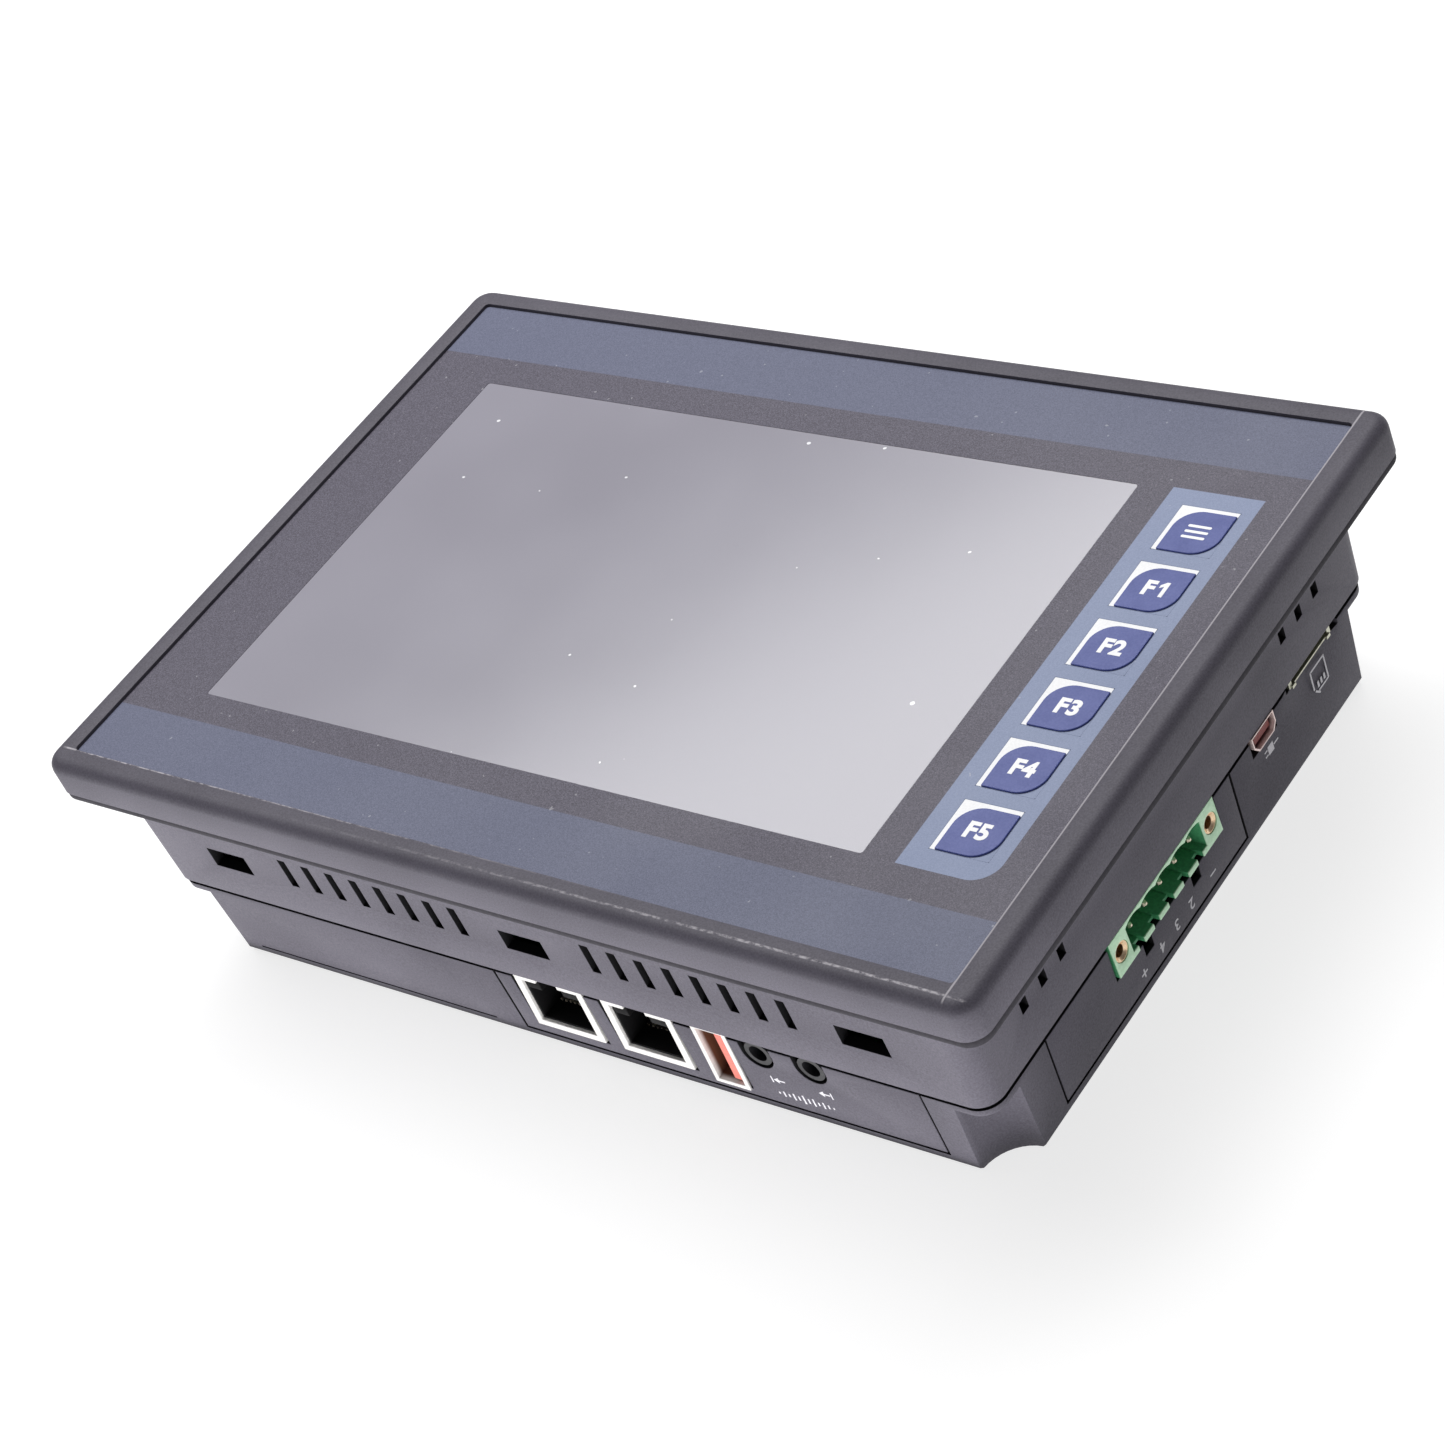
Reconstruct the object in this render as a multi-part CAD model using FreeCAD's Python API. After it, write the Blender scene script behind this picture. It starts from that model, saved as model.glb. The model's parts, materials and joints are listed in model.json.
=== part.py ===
"""Seven-inch HMI touch panel: bezel with six membrane keys, display stack, main board and two-part case.

Frame: origin at the centre of the back face, +Z out of the screen, +X along the long side
(towards the keys), +Y up the screen. Millimetres.
"""
import FreeCAD, Part
import math
import os

Vec = FreeCAD.Vector
X_AXIS = Vec(1, 0, 0)
Y_AXIS = Vec(0, 1, 0)
Z_AXIS = Vec(0, 0, 1)

# ---------------------------------------------------------------- driving dimensions
# Levels, counted up from the back face
bezel_front = 52.6
overlay_face = 52.0
overlay_seat = 51.5
glass_ledge = 49.7
plate_back = 48.5
flange_back = 45.0
gasket_back = 43.4
wall_foot = 18.9
rear_top = 17.8
board_bottom = 18.7
board_thickness = 1.6
board_top = board_bottom + board_thickness

# Bezel flange
flange_length = 211.6
flange_width = 142.8
flange_corner = 4.2
gasket_inset = 0.2
flange_edge_round = 2.4

# Front overlay
overlay_length = 200.45
overlay_width = 132.55
overlay_gap = 0.2
overlay_corner = 0.7

# Display window, a 7 inch 15:9 screen
window_length = 152.6
window_width = 91.1
window_x = -6.8
window_y = -0.7
fit_gap = 0.1

# Case walls, drafted towards the back
wall = 2.2
front_half_x = 95.25
front_half_y = 65.45
front_draft = 0.033
rear_half_x = 94.95
rear_half_y = 65.15
rear_draft = 0.045
wall_corner = 4.5
rear_wall = 2.0
back_thickness = 2.2
back_chamfer = 0.7

# Concave rear corners
scallop_x = 94.5
scallop_y = 64.9
scallop_radius_back = 8.5
scallop_radius_top = 7.6
scallop_top = 16.5

# Locating lip between the two housings
lip_thickness = 1.0
lip_gap = 0.25
lip_rise = 2.4
lip_root = 2.8

# Keys
key_x = 80.2
key_top = 41.6
key_pitch = 14.48
key_length = 11.45
key_width = 11.25
key_white_edge = 0.95
key_leaf_round = 4.6
key_leaf_height = 0.5
key_plate = 0.6
key_gap = 0.12
key_stem_radius = 2.2
key_stem = 1.1
key_travel = 0.35
key_well_margin = 0.5
key_names = ["key_menu", "key_f1", "key_f2", "key_f3", "key_f4", "key_f5"]
keypad_board_x = 85.4
keypad_board_length = 14.4
keypad_board_width = 90.0
keypad_board_thickness = 1.2

# Display stack
glass_margin = 2.6
glass_thickness = 1.6
lcd_length = 165.0
lcd_width = 104.0
lcd_depth = 5.8
lcd_skin = 0.6
lcd_glass = 1.6
bracket_thickness = 1.0
bracket_border = 9.0
bracket_wing = 7.0
lcd_boss_x = [-66.0, 52.4]
lcd_boss_y = 56.6
lcd_boss_radius = 3.0

# Fasteners
case_screw_x = 78.0
case_screw_y = 57.6
column_radius = 3.8
screw_radius = 1.45
screw_hole = 1.6
screw_head_radius = 2.75
counterbore_radius = 3.0
case_head_recess = 3.2
insert_radius = 2.1
insert_length = 5.0
board_screws_at = [(-82.0, -30.0), (-82.0, 30.0), (-20.0, -50.0), (70.0, -48.0), (66.0, 50.0), (-20.0, 50.0)]
board_boss_radius = 3.2

# Main board and the parts on it
board_half_x = 91.4
board_half_y = 61.5
processor_corner = (-12.0, 2.0)
processor_size = 17.0
processor_height = 1.4
memory_corners = [(14.0, 4.0), (14.0, 18.0), (-30.0, 10.0), (40.0, -20.0), (60.0, -12.0)]
memory_length = 11.0
memory_width = 8.0
memory_height = 1.1
capacitor_centres = [(66.0, 8.0), (66.0, 18.0), (66.0, 28.0)]
capacitor_radius = 3.5
capacitor_height = 8.0
coil_corner = (50.0, 12.0)
coil_size = 10.0
coil_height = 5.0
battery_x = -48.0
battery_y = 4.0
battery_radius = 10.0
battery_height = 3.2
battery_cup_wall = 1.4
battery_cup_floor = 1.6
battery_slot_half = 4.0

# Flat cables
flex_thickness = 0.3
flex_reach = 2.0
lcd_cable_x = (-12.0, 16.0)
lcd_cable_y = (40.0, 53.0)
touch_cable_x = (20.0, 28.0)
touch_cable_y = (44.0, 53.0)
keypad_cable_x = (80.0, 88.0)
keypad_cable_y = (20.0, 36.0)

# Cooling slots in the back wall
back_vent_groups = [-46.0, 46.0]
back_vent_count = 8
back_vent_pitch = 5.0
back_vent_width = 2.2
back_vent_y = (14.0, 38.0)

# Long side towards -Y: clip pockets and vents in the front housing
pocket_length = 10.0
pocket_height = 4.8
pocket_pitch = 73.4
pocket_offset = 0.4
pocket_z = 29.4
vent_width = 2.0
vent_height = 7.1
vent_z = 30.85
vent_pitch = 6.05
vent_count = 8
vent_starts = [-56.8, 16.4]

# Short sides: small clip holes in the front housing
pin_hole_width = 2.0
pin_hole_height = 2.7
pin_hole_z = 28.7
pin_hole_pitch = 5.95
pin_hole_starts = [-50.3, 37.4]

# Port plates let into the rear walls
plate_thickness = 1.2
plate_gap = 0.5
plate_foot = 2.0
plate_frame = 1.0
bottom_plate_from = -13.2
bottom_plate_to = 80.7
side_plate_from = -48.7
side_plate_to = 14.2
port_gap = 0.5
groove_from = -81.7
groove_to = -20.5

# Network jacks
jack_length = 16.0
jack_height = 13.6
jack_depth = 21.0
jack_centres = [-0.5, 19.8]
jack_frame = 1.5
jack_liner = 0.5
jack_cavity_depth = 13.5
jack_back = 0.5
jack_core_set_back = 0.6
latch_length = 5.0
latch_height = 1.9
latch_shift = -0.4
latch_depth = 10.5
contact_count = 8
contact_pitch = 1.02
contact_width = 0.4
contact_front = 3.8
contact_back = 11.0
contact_drop = 9.5
contact_thickness = 0.5

# USB host port, standing on its edge
host_x = 36.2
host_length = 6.8
host_height = 14.0
host_depth = 14.0
host_skin = 0.5
host_proud = 0.2
host_lip = 0.4
host_tongue = 2.0
host_tongue_gap = 0.3
host_tongue_set_back = 0.6
host_base = 3.5
host_contact_count = 4
host_contact_pitch = 2.4

# Audio jacks
audio_centres = [45.7, 57.0]
audio_z = 15.4
audio_barrel = 2.75
audio_barrel_length = 2.0
audio_bore = 1.8
audio_recess = 0.4
audio_depth = 12.0
audio_cutout = 3.3
audio_body_half = 3.3
audio_body_low = 3.1

# USB device port
device_y = 25.5
device_length = 7.7
device_height = 3.9
device_depth = 9.0
device_proud = 0.5
device_skin = 0.3
device_foot_cut = 1.2
device_foot_rise = 1.4
device_level = 16.0
device_base = 6.0

# Memory card socket
card_y = 43.4
card_length = 15.2
card_height = 1.5
card_depth = 14.0
card_slot_half = 6.6
card_slot_height = 0.95
card_floor = 0.3
card_gap_low = 1.0
card_gap_high = 2.6
card_tab = 1.2
card_tab_proud = 0.3
scoop_radius = 60.0
scoop_depth = 0.7
scoop_drop = 4.0
scoop_centre_drop = 1.0

# Terminal header, 5 poles
header_y = -10.0
header_pitch = 5.08
header_poles = 5
header_length = 35.5
header_height = 8.0
header_depth = 12.0
header_proud = 0.4
header_level = 14.7
header_top_wall = 0.55
header_arch_rise = 0.65
header_floor = 1.2
header_cavity_depth = 8.6
header_groove_width = 1.9
header_groove_depth = 0.5
header_notch_depth = 1.6
header_screw_pitch = 30.48
header_insert_radius = 2.0
header_insert_length = 5.8
header_thread_radius = 1.25
header_pin = 0.9
header_pin_tip = 0.4
header_pin_set_back = 0.9
header_pin_z = 15.5
header_notch_reach = 8.2
header_notch_half = 1.4
header_notch_drop = 3.4


# ---------------------------------------------------------------- helpers
def box(x_from, x_to, y_from, y_to, z_from, z_to):
    """Axis-aligned block between two corners."""
    return Part.makeBox(x_to - x_from, y_to - y_from, z_to - z_from, Vec(x_from, y_from, z_from))


def rod(radius, length, start, direction=Z_AXIS):
    """Round bar from a start point along a direction."""
    return Part.makeCylinder(radius, length, start, direction)


def rounded_outline(half_x, half_y, radius, z):
    """Rectangle with four round corners, centred on the Z axis."""
    inner_x = half_x - radius
    inner_y = half_y - radius
    edges = []
    corners = [(1, 1, 0), (-1, 1, 90), (-1, -1, 180), (1, -1, 270)]
    ends = []
    for side_x, side_y, start_angle in corners:
        centre = Vec(side_x * inner_x, side_y * inner_y, z)
        arc = Part.ArcOfCircle(Part.Circle(centre, Z_AXIS, radius),
                               math.radians(start_angle), math.radians(start_angle + 90))
        ends.append((arc.StartPoint, arc.EndPoint, arc.toShape()))
    for index, (start, end, shape) in enumerate(ends):
        edges.append(shape)
        next_start = ends[(index + 1) % 4][0]
        edges.append(Part.LineSegment(end, next_start).toShape())
    return Part.Wire(edges)


def rounded_block(length, width, radius, z_from, z_to, x=0.0, y=0.0):
    """Upright block with round vertical corners."""
    face = Part.Face(rounded_outline(length / 2, width / 2, radius, z_from))
    block = face.extrude(Vec(0, 0, z_to - z_from))
    block.translate(Vec(x, y, 0))
    return block


def drafted_block(half_x, half_y, radius, z_base, z_from, z_to, draft):
    """Block whose half sizes are given at z_base and grow with height by the draft."""
    wires = []
    for z in (z_from, z_to):
        grow = (z - z_base) * draft
        wires.append(rounded_outline(half_x + grow, half_y + grow, radius, z))
    return Part.makeLoft(wires, True, True)


def front_block(inset, z_from, z_to):
    """The front housing's wall outline, moved in by inset."""
    return drafted_block(front_half_x - inset, front_half_y - inset, max(wall_corner - inset, 0.8),
                         wall_foot, z_from, z_to, front_draft)


def rear_block(inset, z_from, z_to):
    """The rear housing's wall outline, moved in by inset."""
    return drafted_block(rear_half_x - inset, rear_half_y - inset, max(wall_corner - inset, 0.8),
                         rear_top, z_from, z_to, rear_draft)


def rear_wall_y(z):
    """Distance of the rear housing's long walls from the centre, at a height."""
    return rear_half_y - (rear_top - z) * rear_draft


def rear_wall_x(z):
    """Distance of the rear housing's short walls from the centre, at a height."""
    return rear_half_x - (rear_top - z) * rear_draft


def four_corners(half_x, half_y):
    """The four points at plus and minus the half distances."""
    return [(side_x * half_x, side_y * half_y) for side_x in (-1, 1) for side_y in (-1, 1)]


def cut_all(shape, tools):
    """Cut a list of tools from a shape."""
    return shape.cut(tools) if tools else shape


def fuse_all(shape, tools):
    """Fuse a list of solids onto a shape."""
    return shape.fuse(tools).removeSplitter()


def save(name, shape):
    """Write one node, checking that it is made of closed solids."""
    solids = shape.Solids
    if not solids or not shape.isValid():
        raise RuntimeError("bad shape: " + name)
    result = solids[0] if len(solids) == 1 else Part.makeCompound(solids)
    result.exportStep("parts/" + name + ".step")
    print("%-22s solids %2d  volume %10.1f" % (name, len(solids), sum(s.Volume for s in solids)))


def key_corner(index):
    """Lower-left corner of a key's square."""
    top = key_top - index * key_pitch
    return key_x, top - key_width


# ---------------------------------------------------------------- front housing and what sits on it
def side_openings():
    """Cutters for the clip pockets, vents and clip holes in the front housing's four walls."""
    reach = 4.0
    tools = []
    for side in (-1, 1):
        y_wall = side * (front_half_y + 0.3)
        y_from = y_wall - reach
        y_to = y_wall + reach
        for step in (-1, 0, 1):
            x = pocket_offset + step * pocket_pitch
            tools.append(box(x - pocket_length / 2, x + pocket_length / 2, y_from, y_to,
                             pocket_z - pocket_height / 2, pocket_z + pocket_height / 2))
        for start in vent_starts:
            for step in range(vent_count):
                x = start + step * vent_pitch
                tools.append(box(x - vent_width / 2, x + vent_width / 2, y_from, y_to,
                                 vent_z - vent_height / 2, vent_z + vent_height / 2))
        x_wall = side * (front_half_x + 0.3)
        for start in pin_hole_starts:
            for step in range(3):
                y = start + step * pin_hole_pitch
                tools.append(box(x_wall - reach, x_wall + reach, y - pin_hole_width / 2, y + pin_hole_width / 2,
                                 pin_hole_z - pin_hole_height / 2, pin_hole_z + pin_hole_height / 2))
    return tools


def make_front_housing():
    """Bezel flange, front plate and drafted side walls in one moulding, open to the back."""
    flange = rounded_block(flange_length, flange_width, flange_corner, flange_back, bezel_front)
    front_edges = [e for e in flange.Edges if min(v.Z for v in e.Vertexes) > bezel_front - 0.01]
    flange = flange.makeFillet(flange_edge_round, front_edges)
    housing = flange.fuse(front_block(0.0, wall_foot, flange_back + 1.0))
    housing = housing.cut(front_block(wall, wall_foot - 1.0, plate_back))
    bosses = []
    for x, y in four_corners(case_screw_x, case_screw_y):
        bosses.append(rod(column_radius, plate_back + 1.0 - rear_top, Vec(x, y, rear_top)))
    bracket_back = plate_back - lcd_depth - bracket_thickness
    for x in lcd_boss_x:
        for y in (-lcd_boss_y, lcd_boss_y):
            bosses.append(rod(lcd_boss_radius, lcd_depth + 1.0, Vec(x, y, plate_back - lcd_depth)))
    housing = fuse_all(housing, bosses)

    tools = [rounded_block(overlay_length + 2 * overlay_gap, overlay_width + 2 * overlay_gap,
                           overlay_corner + overlay_gap, overlay_seat, bezel_front + 1.0)]
    pocket_long = window_length + 2 * (glass_margin + fit_gap)
    pocket_wide = window_width + 2 * (glass_margin + fit_gap)
    tools.append(rounded_block(pocket_long, pocket_wide, 1.0, glass_ledge, overlay_face, window_x, window_y))
    tools.append(rounded_block(window_length + 1.0, window_width + 1.0, 1.0,
                               plate_back - 1.0, overlay_face, window_x, window_y))
    for index in range(len(key_names)):
        x, y = key_corner(index)
        tools.append(box(x - key_well_margin, x + key_length + key_well_margin,
                         y - key_well_margin, y + key_width + key_well_margin,
                         plate_back - 0.5, overlay_face))
    for x, y in four_corners(case_screw_x, case_screw_y):
        tools.append(rod(insert_radius, insert_length, Vec(x, y, rear_top)))
        tools.append(rod(screw_hole, insert_length + 4.0, Vec(x, y, rear_top)))
    for x in lcd_boss_x:
        for y in (-lcd_boss_y, lcd_boss_y):
            tools.append(rod(screw_hole, lcd_depth - 1.0, Vec(x, y, bracket_back)))
    return cut_all(housing, tools + side_openings())


def make_panel_gasket():
    """Flat seal behind the flange, round the case walls."""
    ring = rounded_block(flange_length - 2 * gasket_inset, flange_width - 2 * gasket_inset,
                         flange_corner - gasket_inset, gasket_back, flange_back)
    return ring.cut(front_block(-fit_gap, gasket_back - 1.0, flange_back + 1.0))


def make_overlay():
    """Printed front film with openings for the display window and the six keys."""
    film = rounded_block(overlay_length, overlay_width, overlay_corner, overlay_seat, overlay_face)
    tools = [rounded_block(window_length, window_width, 0.6, overlay_seat - 1.0, overlay_face + 1.0,
                           window_x, window_y)]
    for index in range(len(key_names)):
        x, y = key_corner(index)
        tools.append(box(x - key_gap, x + key_length + key_gap, y - key_gap, y + key_width + key_gap,
                         overlay_seat - 1.0, overlay_face + 1.0))
    return cut_all(film, tools)


def make_display_film():
    """Clear matt film that fills the window in the overlay."""
    return rounded_block(window_length - fit_gap, window_width - fit_gap, 0.6,
                         overlay_seat, overlay_face - 0.05, window_x, window_y)


def make_key(index):
    """One embossed key: square plate, raised leaf-shaped face and a stem over its switch."""
    x, y = key_corner(index)
    plate_bottom = overlay_face - key_plate
    plate = box(x, x + key_length, y, y + key_width, plate_bottom, overlay_face)
    leaf = box(x + key_white_edge, x + key_length, y, y + key_width - key_white_edge,
               overlay_face, overlay_face + key_leaf_height)
    round_edges = []
    for edge in leaf.Edges:
        point = edge.CenterOfMass
        upright = abs(edge.tangentAt(edge.FirstParameter).z) > 0.9
        top_left = point.x < x + key_length / 2 and point.y > y + key_width / 2
        bottom_right = point.x > x + key_length / 2 and point.y < y + key_width / 2
        if upright and (top_left or bottom_right):
            round_edges.append(edge)
    leaf = leaf.makeFillet(key_leaf_round, round_edges)
    stem = rod(key_stem_radius, key_stem + 0.1, Vec(x + key_length / 2, y + key_width / 2,
                                                    plate_bottom - key_stem))
    return plate.fuse([leaf, stem]).removeSplitter()


def make_keypad_board():
    """Narrow circuit board behind the key wells."""
    return box(keypad_board_x - keypad_board_length / 2, keypad_board_x + keypad_board_length / 2,
               -keypad_board_width / 2, keypad_board_width / 2,
               plate_back - keypad_board_thickness, plate_back)


def make_key_switches():
    """Six low dome switches on the keypad board, one under each key."""
    stem_bottom = overlay_face - key_plate - key_stem
    dome_top = stem_bottom - key_travel - 0.1
    switches = []
    for index in range(len(key_names)):
        x, y = key_corner(index)
        centre = Vec(x + key_length / 2, y + key_width / 2, plate_back)
        base = box(centre.x - 3.0, centre.x + 3.0, centre.y - 3.0, centre.y + 3.0, plate_back, plate_back + 0.8)
        dome = rod(1.8, dome_top - plate_back, centre)
        switches.append(base.fuse(dome).removeSplitter())
    return Part.makeCompound(switches)


# ---------------------------------------------------------------- display stack
def make_touch_screen():
    """Touch-sensing glass that lies on the ledge round the window."""
    return rounded_block(window_length + 2 * glass_margin, window_width + 2 * glass_margin, 1.0,
                         overlay_seat - glass_thickness, overlay_seat, window_x, window_y)


def make_touch_seal():
    """Adhesive frame between the touch glass and its ledge."""
    outer = rounded_block(window_length + 2 * glass_margin, window_width + 2 * glass_margin, 1.0,
                          glass_ledge, overlay_seat - glass_thickness, window_x, window_y)
    inner = rounded_block(window_length + 1.6, window_width + 1.6, 0.8,
                          glass_ledge - 1.0, overlay_face, window_x, window_y)
    return outer.cut(inner)


def display_block(margin, z_from, z_to):
    """Block with the display module's outline, moved in by margin."""
    return box(window_x - lcd_length / 2 + margin, window_x + lcd_length / 2 - margin,
               window_y - lcd_width / 2 + margin, window_y + lcd_width / 2 - margin, z_from, z_to)


def make_lcd_frame():
    """Pressed metal tray of the display module, with a window in front."""
    lcd_back = plate_back - lcd_depth
    tray = display_block(0.0, lcd_back, plate_back)
    inside = display_block(lcd_skin, lcd_back + lcd_skin, plate_back - lcd_skin)
    opening = box(window_x - window_length / 2, window_x + window_length / 2,
                  window_y - window_width / 2, window_y + window_width / 2,
                  plate_back - 2.0, plate_back + 1.0)
    return tray.cut([inside, opening])


def make_lcd_glass():
    """Liquid-crystal cell at the front of the tray."""
    return display_block(lcd_skin + fit_gap, plate_back - lcd_skin - lcd_glass, plate_back - lcd_skin)


def make_backlight():
    """Light guide and reflector behind the liquid-crystal cell."""
    return display_block(lcd_skin + fit_gap, plate_back - lcd_depth + lcd_skin,
                         plate_back - lcd_skin - lcd_glass)


def make_lcd_bracket():
    """Sheet-metal frame that clamps the display module, with four screw wings."""
    back = plate_back - lcd_depth - bracket_thickness
    front = plate_back - lcd_depth
    plate = display_block(0.0, back, front).cut(display_block(bracket_border, back - 1.0, front + 1.0))
    wings = []
    holes = []
    for x in lcd_boss_x:
        for side in (-1, 1):
            y = side * lcd_boss_y
            y_ends = sorted([y + side * 3.2, side * (lcd_width / 2 - 4.0)])
            wings.append(box(x - bracket_wing / 2, x + bracket_wing / 2, y_ends[0], y_ends[1], back, front))
            holes.append(rod(screw_hole, 3.0, Vec(x, y, back - 1.0)))
    return plate.fuse(wings).removeSplitter().cut(holes)


def make_screw(x, y, head_bottom, length, head_height=1.8):
    """Pan-head screw driven towards +Z, with a cross recess in its head."""
    head = rod(screw_head_radius, head_height, Vec(x, y, head_bottom))
    shank = rod(screw_radius, length + 0.2, Vec(x, y, head_bottom + head_height - 0.2))
    slot_depth = head_height * 0.55
    slots = [box(x - 1.4, x + 1.4, y - 0.3, y + 0.3, head_bottom - 0.5, head_bottom + slot_depth),
             box(x - 0.3, x + 0.3, y - 1.4, y + 1.4, head_bottom - 0.5, head_bottom + slot_depth)]
    return head.fuse(shank).removeSplitter().cut(slots)


def make_lcd_screws():
    """Four screws that hold the display bracket."""
    bracket_back = plate_back - lcd_depth - bracket_thickness
    return Part.makeCompound([make_screw(x, y, bracket_back - 1.8, 4.5)
                              for x in lcd_boss_x for y in (-lcd_boss_y, lcd_boss_y)])


def make_flex(x_ends, y_ends, z_top):
    """Flat flexible cable: a straight upright strip with a short foot on the main board."""
    upright = box(x_ends[0], x_ends[1], y_ends[1] - flex_thickness, y_ends[1], board_top, z_top)
    foot = box(x_ends[0], x_ends[1], y_ends[0], y_ends[1], board_top, board_top + flex_thickness)
    return upright.fuse(foot).removeSplitter()


# ---------------------------------------------------------------- main board
def make_main_board():
    """Main circuit board, notched round the case columns and drilled for its screws."""
    board = box(-board_half_x, board_half_x, -board_half_y, board_half_y, board_bottom, board_top)
    tools = []
    notch = column_radius + 0.8
    for x, y in four_corners(case_screw_x, case_screw_y):
        out_x = math.copysign(board_half_x + 1.0, x)
        out_y = math.copysign(board_half_y + 1.0, y)
        x_ends = sorted([x - math.copysign(notch, x), out_x])
        y_ends = sorted([y - math.copysign(notch, y), out_y])
        tools.append(box(x_ends[0], x_ends[1], y_ends[0], y_ends[1], board_bottom - 1.0, board_top + 1.0))
    for x, y in board_screws_at:
        tools.append(rod(screw_hole, 5.0, Vec(x, y, board_bottom - 1.0)))
    return board.cut(tools)


def make_processor():
    """Main processor package on the front side of the board."""
    x, y = processor_corner
    return box(x, x + processor_size, y, y + processor_size, board_top, board_top + processor_height)


def make_memory_chips():
    """Memory and interface chips beside the processor."""
    chips = []
    for x, y in memory_corners:
        chips.append(box(x, x + memory_length, y, y + memory_width, board_top, board_top + memory_height))
    return Part.makeCompound(chips)


def make_power_capacitors():
    """Round capacitors of the power supply, near the terminal header."""
    cans = []
    for x, y in capacitor_centres:
        cans.append(rod(capacitor_radius, capacitor_height, Vec(x, y, board_bottom - capacitor_height)))
    return Part.makeCompound(cans)


def make_power_coil():
    """Shielded coil of the power supply."""
    x, y = coil_corner
    return box(x, x + coil_size, y, y + coil_size, board_bottom - coil_height, board_bottom)


def make_battery_holder():
    """Plastic cup for the coin cell, on the rear side of the board."""
    bottom = board_bottom - battery_height - battery_cup_floor
    cup = rod(battery_radius + battery_cup_wall, board_bottom - bottom, Vec(battery_x, battery_y, bottom))
    room = rod(battery_radius + fit_gap, battery_height + 1.0, Vec(battery_x, battery_y, bottom - 1.0))
    finger_slot = box(battery_x - battery_slot_half, battery_x + battery_slot_half,
                      battery_y - battery_radius - 3.0, battery_y - battery_radius + 2.0,
                      bottom - 1.0, board_bottom - battery_cup_floor + 0.2)
    return cup.cut([room, finger_slot])


def make_backup_battery():
    """Coin cell that keeps the clock running."""
    bottom = board_bottom - battery_height - battery_cup_floor
    return rod(battery_radius, battery_height - 0.2, Vec(battery_x, battery_y, bottom))


def make_board_screws():
    """Six screws that hold the main board on the rear housing's bosses."""
    screws = []
    for x, y in board_screws_at:
        screw = make_screw(x, y, 0.0, 7.0)
        screw.rotate(Vec(x, y, 0), X_AXIS, 180)
        screw.translate(Vec(0, 0, board_top + 1.8))
        screws.append(screw)
    return Part.makeCompound(screws)


# ---------------------------------------------------------------- ports on the long side
jack_front = -rear_wall_y(rear_top - jack_height / 2) - 0.1


def make_jack_shell(x):
    """Metal shield of one network jack, open at the front and notched for the plug's latch."""
    low = board_bottom - jack_height
    back = jack_front + jack_depth
    shell = box(x - jack_length / 2, x + jack_length / 2, jack_front, back, low, board_bottom)
    room = box(x - jack_length / 2 + jack_frame, x + jack_length / 2 - jack_frame,
               jack_front - 1.0, back - jack_back, low + jack_frame, board_bottom - jack_frame)
    notch = box(x + latch_shift - latch_length / 2, x + latch_shift + latch_length / 2,
                jack_front - 1.0, jack_front + latch_height, board_bottom - jack_frame - 1.0, board_bottom + 1.0)
    return shell.cut([room, notch])


def make_jack_insert(x):
    """Plastic core of one network jack, with the plug cavity and the latch channel above it."""
    low = board_bottom - jack_height + jack_frame
    high = board_bottom - jack_frame
    half = jack_length / 2 - jack_frame
    front = jack_front + jack_core_set_back
    core = box(x - half, x + half, front, jack_front + jack_depth - jack_back, low, high)
    cavity_top = high - jack_liner - latch_height
    cavity = box(x - half + jack_liner, x + half - jack_liner, front - 1.0, front + jack_cavity_depth,
                 low + jack_liner, cavity_top)
    latch = box(x + latch_shift - latch_length / 2, x + latch_shift + latch_length / 2,
                front - 1.0, front + latch_depth, cavity_top - 0.5, high - jack_liner)
    mouth = box(x + latch_shift - latch_length / 2, x + latch_shift + latch_length / 2,
                front - 1.0, jack_front + latch_height, cavity_top, high + 1.0)
    return core.cut([cavity, latch, mouth])


def make_jack_contacts(x):
    """Eight contact wires that rise from the back of one network jack's cavity towards its mouth."""
    floor = board_bottom - jack_height + jack_frame + jack_liner
    tip = board_bottom - contact_drop
    front = jack_front + contact_front
    back = jack_front + contact_back
    end = jack_front + jack_core_set_back + jack_cavity_depth
    profile = [(front, tip), (front, tip - contact_thickness), (back, floor), (end, floor),
               (end, floor + contact_thickness), (back, floor + contact_thickness)]
    wires = []
    for step in range(contact_count):
        left = x + (step - (contact_count - 1) / 2) * contact_pitch - contact_width / 2
        points = [Vec(left, y, z) for y, z in profile]
        face = Part.Face(Part.makePolygon(points + [points[0]]))
        wires.append(face.extrude(Vec(contact_width, 0, 0)))
    return Part.makeCompound(wires)


def make_usb_host_shell():
    """Metal shell of the upright USB host port, with a turned-out lip round its mouth."""
    low = board_bottom - host_height
    left = host_x - host_length / 2
    right = host_x + host_length / 2
    front = jack_front - host_proud
    shell = box(left, right, front, front + host_depth, low, board_bottom)
    lip = box(left - host_lip, right + host_lip, front, front + host_skin, low - host_lip, board_bottom)
    room = box(left + host_skin, right - host_skin, front - 1.0, front + host_depth - host_skin,
               low + host_skin, board_bottom - host_skin)
    return shell.fuse(lip).removeSplitter().cut(room)


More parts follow.
